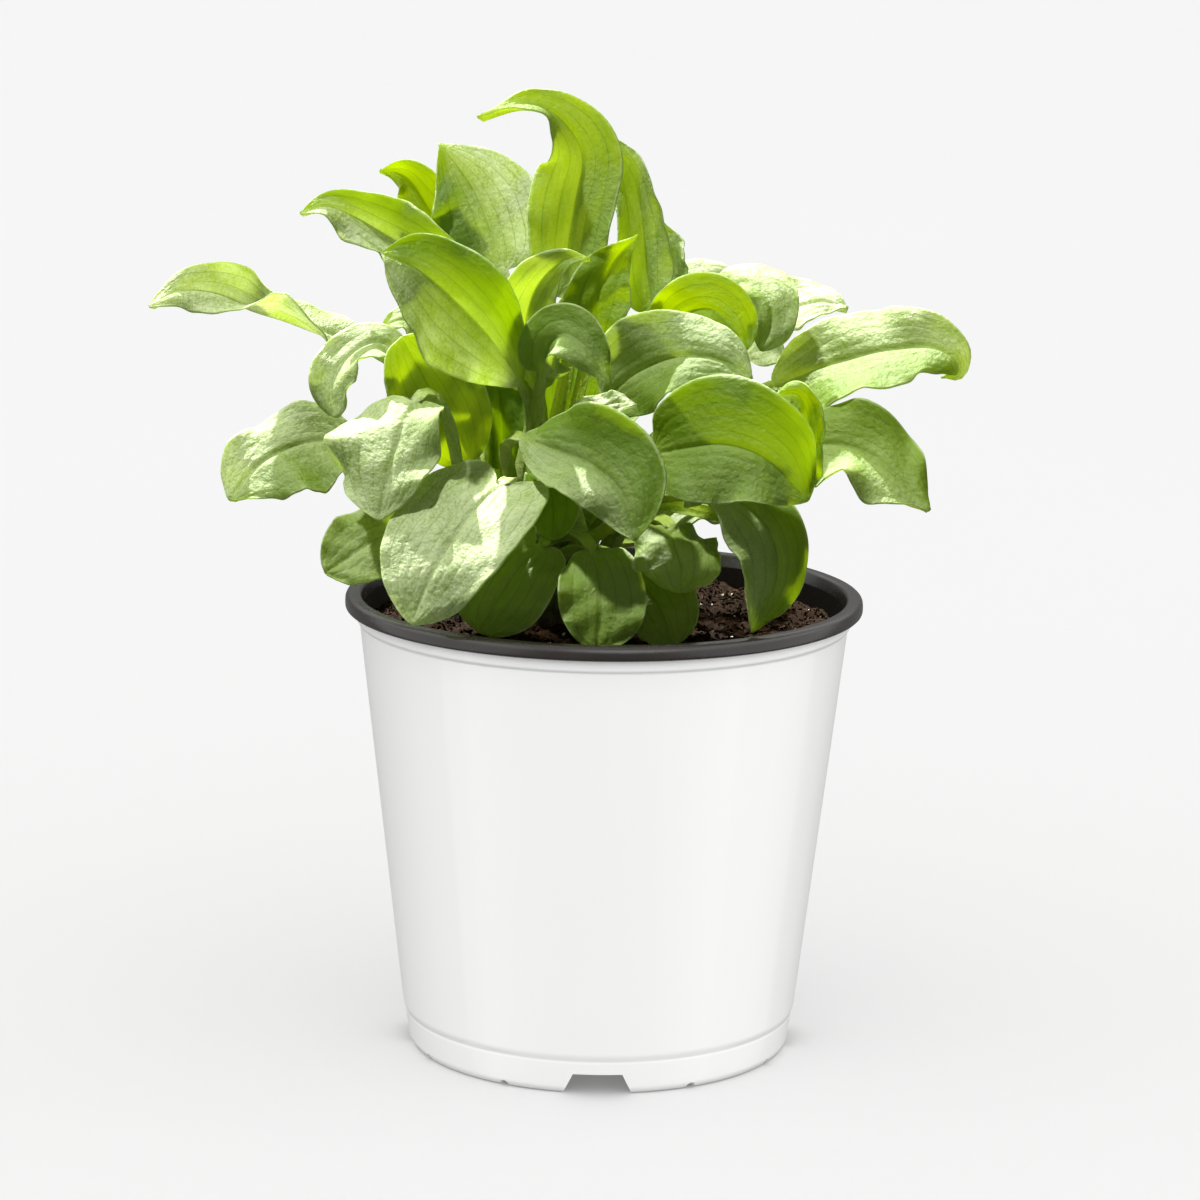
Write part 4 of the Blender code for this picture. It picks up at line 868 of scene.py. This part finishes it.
def build_pot(white, dark, inner):
    """The pot with its rolled rim, shoulder, tapered wall and notched foot ring."""
    top = POT_HEIGHT
    under = top - LIP_HEIGHT
    lip_in = RIM_RADIUS - LIP_WIDTH
    corners = [
        (lip_in, top, 1.2), (RIM_RADIUS, top, 2.2), (RIM_RADIUS, under, 1.2),
        (BODY_TOP_RADIUS + 0.9, under, 0.5), (BODY_TOP_RADIUS + 0.7, under - 3.6, 0.6),
        (BODY_TOP_RADIUS - 0.3, under - 4.6, 0.5), (BODY_FOOT_RADIUS, FOOT_HEIGHT + 2.6, 2.4),
        (FOOT_RADIUS + 1.5, FOOT_HEIGHT + 0.7, 0.8), (FOOT_RADIUS + 1.5, FOOT_HEIGHT, 0.5),
        (FOOT_RADIUS + 0.4, 1.6, 2.0), (FOOT_RADIUS - 0.6, 0.0, 0.6),
        (FOOT_RADIUS - FOOT_WALL, 0.0, 0.6), (FOOT_RADIUS - FOOT_WALL, FLOOR_UNDERSIDE, 0.6),
        (CENTRE_HOLE, FLOOR_UNDERSIDE, 0.5), (CENTRE_HOLE, FLOOR_TOP, 0.5),
        (inner_radius(FLOOR_TOP + 2.0) - 1.0, FLOOR_TOP, 1.2), (inner_radius(under), under, 0.6),
    ]
    profile = rounded(corners, 1.0, 5)
    dark_faces, inside = [], False
    for j, (r, z) in enumerate(profile):
        height = 0.5 * (z + profile[(j + 1) % len(profile)][1])
        inside = inside or r < CENTRE_HOLE + 1.0
        # Faces inside the pot below the rim get the darker copy of the rim plastic: painted shade.
        if inside and height < under + 2.0:
            dark_faces.append(2)
        else:
            dark_faces.append(1 if height > under - 0.2 else 0)
    verts, faces, marks = lathe_mesh(profile, dark_faces, POT_TURNS)
    pot = new_object("pot_moulded", verts, faces, [white, dark, inner])
    pot.data.polygons.foreach_set("material_index", marks)
    cutter = new_object("pot_cutter", *gather(pot_cutters()), smooth=False)
    make_outward(cutter)
    make_outward(pot)
    modifier = pot.modifiers.new("cut", "BOOLEAN")
    modifier.operation = "DIFFERENCE"
    modifier.solver = "EXACT"
    modifier.object = cutter
    view = bpy.context.evaluated_depsgraph_get()
    mesh = bpy.data.meshes.new_from_object(pot.evaluated_get(view))
    pot.modifiers.clear()
    pot.data = mesh
    bpy.data.objects.remove(cutter)
    pot.data.set_sharp_from_angle(angle=math.radians(40))
    part_of_plant(pot, "pot", "pot")
    return pot


# ---------------------------------------------------------------- the potting mix
SOIL_RINGS = 90
SOIL_TURNS = 220
CRUMB_COUNT, CRUMB_SIZES = 6000, (0.25, 0.85)
GRAIN_COUNT, GRAIN_SIZES = 45, (0.4, 1.0)
SCATTER_SEED = 5
SOIL_CLEAR = 0.4               # from the pot's wall
SOIL_CHAMFER = 3.0             # along the floor


def lumps(x, y):
    """Height of the loose surface at a place, in millimetres."""
    return (0.9 * math.sin(0.16 * x + 1.3) * math.cos(0.19 * y) + 0.6 * math.sin(0.41 * x - 0.33 * y)
            + 0.35 * math.sin(0.9 * y + 0.7 * x) + 0.25 * math.sin(1.7 * x - 1.1 * y + 2))


def soil_height(x, y):
    """Top of the mix: slightly hollow towards the wall, mounded at the crown."""
    radius = math.hypot(x, y)
    near = math.hypot(x - CROWN_CENTRE[0], y - CROWN_CENTRE[1])
    mound = 3.0 * math.exp(-(near / 36.0) ** 2)
    return SOIL_TOP - 0.6 + mound - 1.2 * (radius / 75) ** 2 + lumps(x, y)


def crumb(rng, size):
    """A small angular lump: a box with shaken corners, flattened and turned."""
    base = np.array([[x, y, z] for x in (-1, 1) for y in (-1, 1) for z in (-1, 1)], float)
    base += rng.uniform(-0.45, 0.45, base.shape)
    base *= size * np.array([1.0, rng.uniform(0.4, 0.9), rng.uniform(0.25, 0.7)])
    a, b, c = rng.uniform(0, math.tau, 3)
    turn = np.array(Euler((a * 0.2, b * 0.2, c)).to_matrix())
    faces = [(0, 1, 3, 2), (4, 6, 7, 5), (0, 4, 5, 1), (2, 3, 7, 6), (0, 2, 6, 4), (1, 5, 7, 3)]
    return base @ turn.T, faces


def scatter(rng, count, sizes):
    """Lumps resting on the surface of the mix."""
    pieces, tones = [], []
    reach = inner_radius(SOIL_TOP) - 2.5
    while len(pieces) < count:
        x, y = rng.uniform(-reach, reach, 2)
        if math.hypot(x, y) > reach:
            continue
        size = rng.uniform(*sizes) * (0.6 + 0.8 * rng.random() ** 3)
        verts, faces = crumb(rng, size)
        verts += (x, y, soil_height(x, y) + size * rng.uniform(-0.1, 0.35))
        pieces.append((verts, faces))
        tones.append(rng.random() ** 5)
    return pieces, tones


def build_soil(peat, grains):
    """Loose peat filling the pot to below the rim, with bark crumbs and a few white grains."""
    reach = inner_radius(SOIL_TOP) - SOIL_CLEAR
    verts, faces = [(0.0, 0.0, soil_height(0, 0))], []
    for i in range(1, SOIL_RINGS + 1):
        radius = reach * i / SOIL_RINGS
        for j in range(SOIL_TURNS):
            turn = math.tau * j / SOIL_TURNS
            x, y = radius * math.cos(turn), radius * math.sin(turn)
            verts.append((x, y, soil_height(x, y)))
    low = FLOOR_TOP + SOIL_CHAMFER
    foot = inner_radius(low) - SOIL_CLEAR
    for radius, height in ((foot, low), (foot - SOIL_CHAMFER, FLOOR_TOP + FIT_GAP)):
        verts += [(*p, height) for p in circle(radius, SOIL_TURNS)]
    verts.append((0.0, 0.0, FLOOR_TOP + FIT_GAP))
    last = len(verts) - 1
    loops = SOIL_RINGS + 2
    for j in range(SOIL_TURNS):
        k = (j + 1) % SOIL_TURNS
        faces.append((0, 1 + j, 1 + k))
        for i in range(loops - 1):
            a, b = 1 + i * SOIL_TURNS, 1 + (i + 1) * SOIL_TURNS
            faces.append((a + j, b + j, b + k, a + k))
        faces.append((last, 1 + (loops - 1) * SOIL_TURNS + k, 1 + (loops - 1) * SOIL_TURNS + j))
    soil = new_object("soil_mix", verts, faces, [peat])
    paint(soil, "tone", np.zeros(len(verts)))
    part_of_plant(soil, "soil", "soil")
    rng = np.random.default_rng(SCATTER_SEED)
    pieces, tones = scatter(rng, CRUMB_COUNT, CRUMB_SIZES)
    crumbs = new_object("soil_crumbs", *gather(pieces), [peat], smooth=False)
    paint(crumbs, "tone", np.repeat(tones, 8))
    part_of_plant(crumbs, "soil")
    pieces, tones = scatter(rng, GRAIN_COUNT, GRAIN_SIZES)
    white = new_object("soil_grains", *gather(pieces), [grains], smooth=False)
    part_of_plant(white, "soil")


# ---------------------------------------------------------------- the rootstock
STUB_TOP_RADIUS = 3.0          # each stalk grows from a short stub of shoot
STUB_FOOT_RADIUS = 4.4
STUB_LENGTH = 25.0
SHEATH_HEIGHT = 3.0            # how far a stub wraps up round its stalk
STUB_LEAN = 0.28               # how far a stub's foot leans in to the middle, as a share
STUB_SIDES, STUB_RINGS = 20, 9
CROWN_DOME_TOP = 154.0
CROWN_DOME_RADIUS = 25.0
CROWN_SUNK = 8.0               # how far the rootstock reaches below the top of the mix
CROWN_LOOPS, CROWN_TURNS = 41, 72


def stub(leaf):
    """The short shoot base under one stalk: a tube from inside the rootstock."""
    x, y, z = root_point(leaf["ring"], leaf["bearing"])
    cx, cy = CROWN_CENTRE
    verts = []
    for share in np.linspace(0, 1, STUB_RINGS):
        radius = STUB_FOOT_RADIUS + (STUB_TOP_RADIUS - STUB_FOOT_RADIUS) * share
        lean = STUB_LEAN * (1 - share)
        centre = (x + (cx - x) * lean, y + (cy - y) * lean)
        height = z + SHEATH_HEIGHT - STUB_LENGTH * (1 - share)
        verts += [(*point, height) for point in circle(radius, STUB_SIDES, centre)]
    return verts, stacked_faces(STUB_RINGS, STUB_SIDES)


def build_crown(mat):
    """The knobbly rootstock and the short stubs the leaf stalks grow from."""
    verts = []
    for share in np.arange(CROWN_LOOPS) / (CROWN_LOOPS - 1):
        for j in range(CROWN_TURNS):
            turn = math.tau * j / CROWN_TURNS
            radius = CROWN_DOME_RADIUS * math.sin(0.5 * math.pi * min(1.0, share * 1.25) ** 0.9)
            height = CROWN_DOME_TOP - (CROWN_DOME_TOP - SOIL_TOP + CROWN_SUNK) * share ** 1.6
            bumps = 0.8 * math.sin(9 * turn + 14 * share) + 0.6 * math.sin(23 * turn - 17 * share)
            radius = max(0.0, radius + bumps * min(1.0, share * 4))
            verts.append((CROWN_CENTRE[0] + radius * math.cos(turn),
                          CROWN_CENTRE[1] + radius * math.sin(turn), height + 0.3 * bumps))
    pieces = [(verts, stacked_faces(CROWN_LOOPS, CROWN_TURNS))]
    pieces += [stub(leaf) for leaf in LEAVES.values()]
    fresh = np.repeat(np.linspace(0, 1, STUB_RINGS), STUB_SIDES)
    crown = new_object("crown_rootstock", *gather(pieces), [mat])
    make_outward(crown)
    paint(crown, "fresh", np.concatenate([np.full(len(verts), 0.1), np.tile(fresh, len(LEAVES))]))
    part_of_plant(crown, "crown", "crown")


# ---------------------------------------------------------------- floor, light, camera
def build_floor():
    """A wide pale floor that runs on behind the pot as the backdrop."""
    mesh = bpy.data.meshes.new("studio_floor")
    corners = ((-1, -1), (1, -1), (1, 1), (-1, 1))
    mesh.from_pydata([(x * FLOOR_HALF, y * FLOOR_HALF, FLOOR_LEVEL) for x, y in corners], [],
                     [(0, 1, 2, 3)])
    floor = bpy.data.objects.new("studio_floor", mesh)
    bpy.context.scene.collection.objects.link(floor)
    mesh.materials.append(floor_material())
    floor.visible_diffuse = False                  # no bounced light from it on plant or pot
    floor.visible_glossy = False
    return floor


def add_lamp(name, kind, place, target, power, colour=(1, 1, 1)):
    """A lamp at a place, its -Z axis pointed at the target."""
    data = bpy.data.lights.new(name, kind)
    data.energy = power
    data.color = colour
    lamp = bpy.data.objects.new(name, data)
    bpy.context.scene.collection.objects.link(lamp)
    lamp.location = place
    lamp.rotation_euler = (Vector(target) - lamp.location).to_track_quat("-Z", "Y").to_euler()
    return lamp


def area_light(name, place, target, width, power):
    """A round softbox."""
    lamp = add_lamp(name, "AREA", place, target, power)
    lamp.data.shape = "DISK"
    lamp.data.size = width
    return lamp


def sun_light(name, toward, spread, power, colour=(1, 1, 1)):
    """Even light from one direction; toward points from the plant to the light."""
    lamp = add_lamp(name, "SUN", toward, (0.0, 0.0, 0.0), power, colour)
    lamp.data.angle = math.radians(spread)
    return lamp


def light_only(lamp, objects, state):
    """Let a lamp reach only these objects (INCLUDE), or all but these (EXCLUDE)."""
    group = bpy.data.collections.new(lamp.name + "_reach")
    for obj in objects:
        group.objects.link(obj)
    lamp.light_linking.receiver_collection = group
    for entry in group.collection_objects:
        entry.light_linking.link_state = state


def build_light(floor, pot):
    """A dim white room that lights everything, and lamps that are each linked to some of it."""
    world = bpy.data.worlds.new("studio_room")
    world.use_nodes = True
    back = world.node_tree.nodes["Background"]
    back.inputs["Color"].default_value = (1.0, 1.0, 1.0, 1.0)
    back.inputs["Strength"].default_value = ROOM_LIGHT
    bpy.context.scene.world = world
    key = sun_light("key_light", KEY_TOWARD, KEY_SPREAD, KEY_POWER, KEY_COLOUR)
    light_only(key, [floor, pot], "EXCLUDE")
    sky = sun_light("high_light", SKY_TOWARD, SKY_SPREAD, SKY_POWER, KEY_COLOUR)
    light_only(sky, [floor, pot], "EXCLUDE")
    top = sun_light("overhead_softbox", (0.0, -0.1, 1.0), TOP_SPREAD, TOP_POWER)
    light_only(top, [floor, pot], "INCLUDE")
    x, y, z = SIDE_TOWARD
    for name, toward in (("right_softbox", (x, y, z)), ("left_softbox", (-x, y, z))):
        light_only(sun_light(name, toward, SIDE_SPREAD, SIDE_POWER), [pot], "INCLUDE")
    fill = area_light("front_softbox", FILL_PLACE, (0.0, 0.0, 0.10), FILL_SIZE, FILL_POWER)
    light_only(fill, [pot], "INCLUDE")


def build_camera():
    """A long lens a little above the rim, looking slightly down."""
    data = bpy.data.cameras.new("camera")
    data.lens = CAMERA_LENS
    data.sensor_width = 36.0
    data.clip_start = 0.05
    data.clip_end = 60.0
    camera = bpy.data.objects.new("camera", data)
    bpy.context.scene.collection.objects.link(camera)
    tilt = Matrix.Rotation(math.radians(90.0 - CAMERA_PITCH), 4, "X")
    roll = Matrix.Rotation(math.radians(CAMERA_ROLL), 4, "Z")
    camera.matrix_world = Matrix.Translation(CAMERA_PLACE) @ tilt @ roll
    bpy.context.scene.camera = camera


def tone_of_picture():
    """Plain display colours."""
    view = bpy.context.scene.view_settings
    view.view_transform = "Standard"
    view.look = "None"
    view.exposure = 0.0
    view.gamma = 1.0


build_camera()
tone_of_picture()
studio_floor = build_floor()
pot_rim = plastic_dark("pot_rim", RIM_DARK, RIM_LIGHT, 0.5)
# The inside: a darker, duller copy of the rim plastic, painted shade.
pot_inside_shaded = plastic_dark("pot_inside_shaded", INSIDE_SHADE_DARK, INSIDE_SHADE_LIGHT, 0.1)
build_light(studio_floor, build_pot(plastic_white(), pot_rim, pot_inside_shaded))
build_soil(soil_material(), perlite_material())
build_crown(crown_material())
leaf_mat = leaf_material()
for leaf_index, (leaf_name, leaf_shape) in enumerate(LEAVES.items()):
    build_leaf("leaf_" + leaf_name, leaf_shape, leaf_index, leaf_mat)
